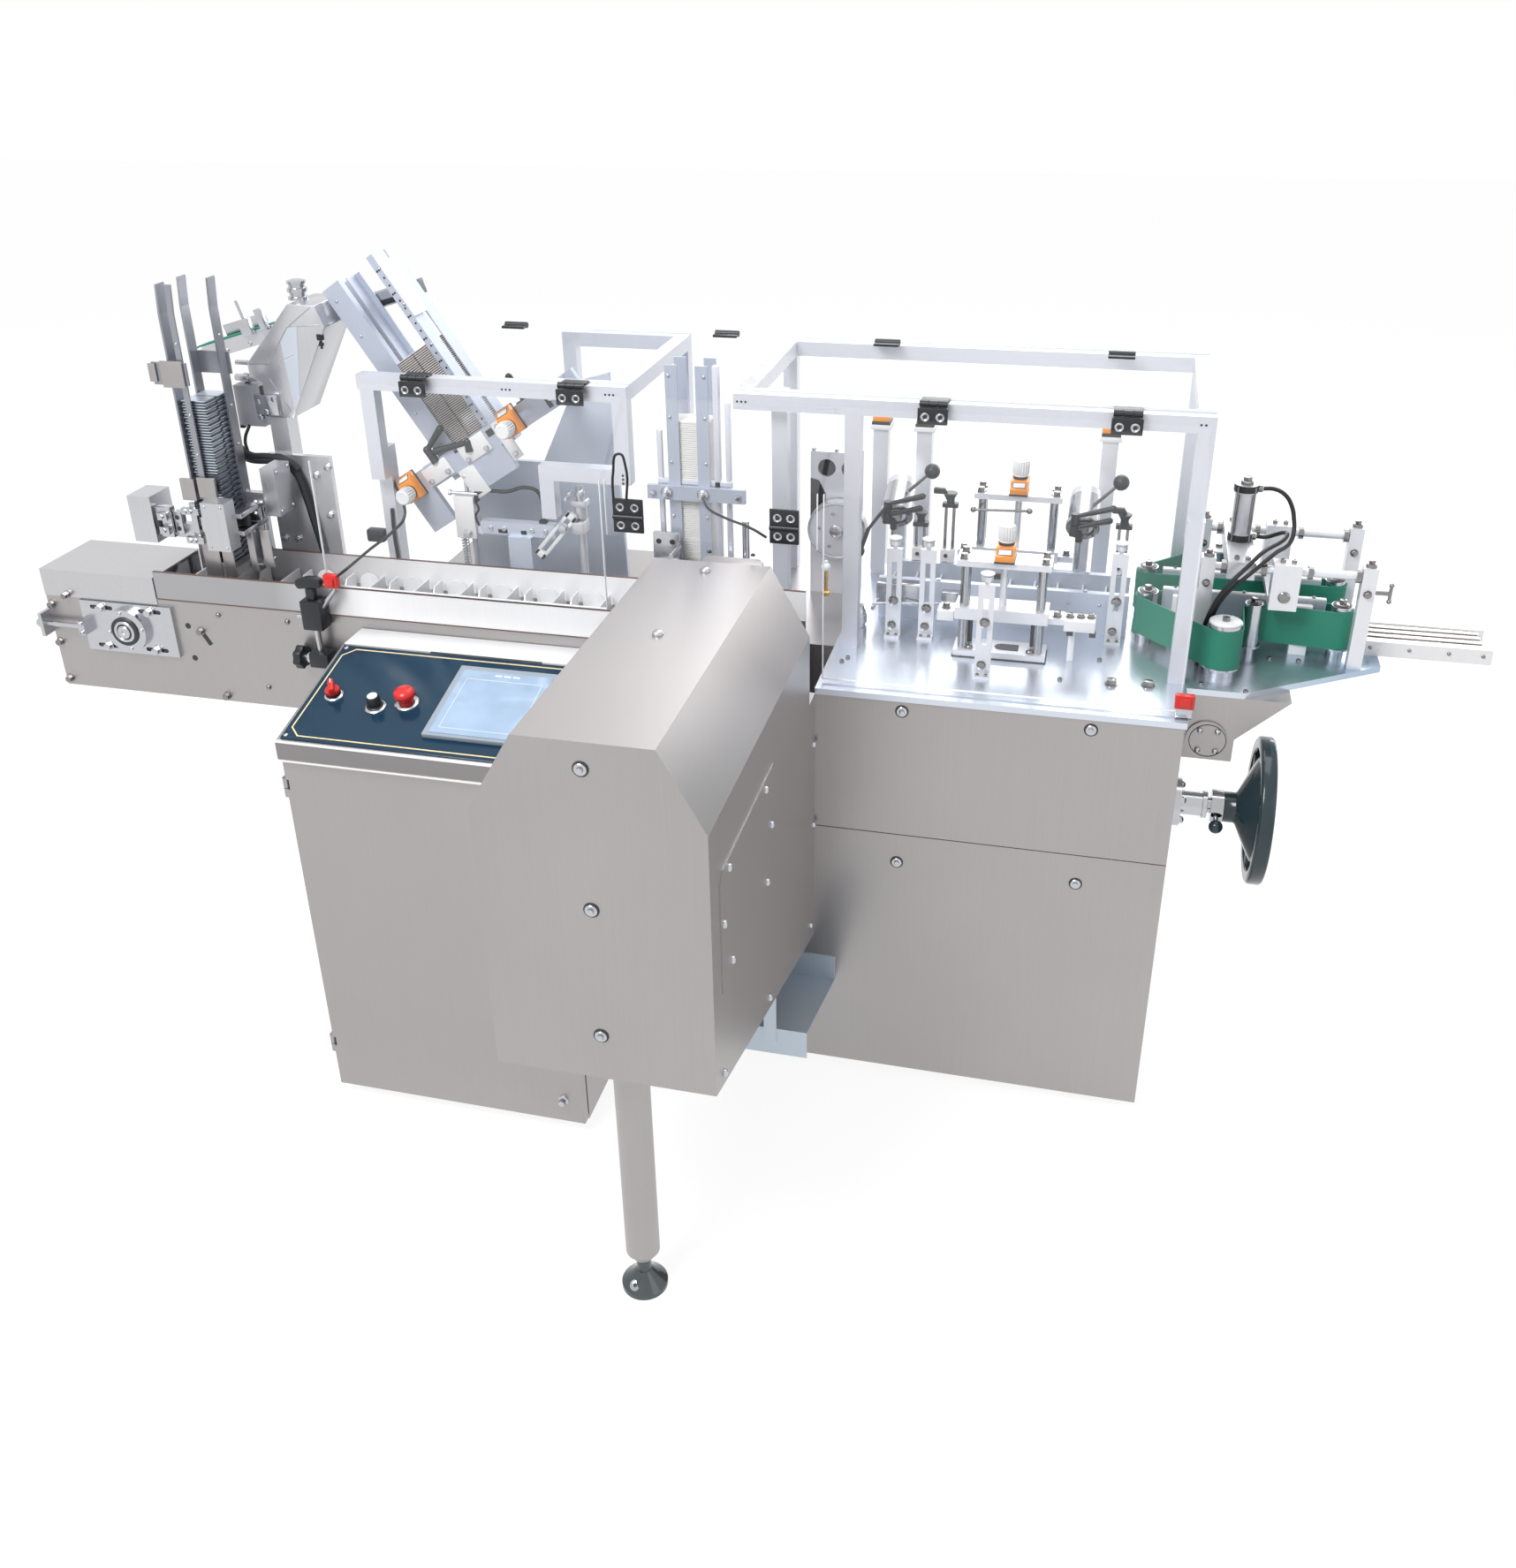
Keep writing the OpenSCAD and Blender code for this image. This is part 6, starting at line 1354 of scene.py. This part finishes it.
def studioFloor():
    bm = bmesh.new()
    bmesh.ops.create_grid(bm, x_segments=1, y_segments=1, size=studio["floor"])
    mesh = bpy.data.meshes.new("studio_floor")
    bm.to_mesh(mesh)
    bm.free()
    material = bpy.data.materials.new("studio_floor")
    material.use_nodes = True
    tree = material.node_tree
    shader = tree.nodes["Principled BSDF"]
    shader.inputs["Base Color"].default_value = (0.86, 0.86, 0.86, 1)
    shader.inputs["Roughness"].default_value = 0.9
    glow = addNode(tree, "ShaderNodeEmission", Strength=studio["floorGlow"])
    mix = tree.nodes.new("ShaderNodeMixShader")
    tree.links.new(combine(tree, "MULTIPLY", rays(tree, "Camera", "Glossy"), studio["glowShare"]), mix.inputs["Fac"])
    tree.links.new(shader.outputs[0], mix.inputs[1])
    tree.links.new(glow.outputs[0], mix.inputs[2])
    tree.links.new(mix.outputs[0], tree.nodes["Material Output"].inputs["Surface"])
    mesh.materials.append(material)
    obj = newObject("studio_floor", mesh)


def studioWorld():
    world = bpy.data.worlds.new("studio")
    scene.world = world
    world.use_nodes = True
    tree = world.node_tree
    back = tree.nodes["Background"]
    back.inputs["Color"].default_value = (1, 1, 1, 1)
    level = addNode(tree, "ShaderNodeMapRange", **{"To Min": studio["world"], "To Max": 1.0})
    tree.links.new(rays(tree, "Camera", "Glossy", "Transmission"), level.inputs["Value"])
    tree.links.new(level.outputs["Result"], back.inputs["Strength"])


def softLight(name, place, target, size, power):
    lamp = bpy.data.lights.new(name, "AREA")
    lamp.shape = "SQUARE"
    lamp.size = size
    lamp.energy = power
    obj = newObject(name, lamp)
    obj.visible_camera = False
    obj.location = place
    obj.rotation_euler = (Vector(target) - Vector(place)).to_track_quat("-Z", "Y").to_euler()


view = {"place": (0.158, -2.717, 2.115), "lens": 33.587, "sensor": 36.0, "shiftX": 0.009, "shiftY": -0.0532,
        "yaw": -14.70, "pitch": 26.95, "roll": -1.14, "reach": 60.0}


def photoCamera():
    data = bpy.data.cameras.new("camera")
    data.lens = view["lens"]
    data.sensor_width = view["sensor"]
    data.shift_x = view["shiftX"]
    data.shift_y = view["shiftY"]
    data.clip_end = view["reach"]
    obj = newObject("camera", data)
    obj.matrix_world = (Matrix.Translation(view["place"]) @ turned("Z", -view["yaw"])
                        @ turned("X", 90 - view["pitch"]) @ turned("Z", view["roll"]))
    scene.camera = obj


studioFloor()
studioWorld()
for name, lamp in lamps.items():
    softLight(name, *lamp)
photoCamera()
scene.view_settings.view_transform = "Standard"
print("studio ready")
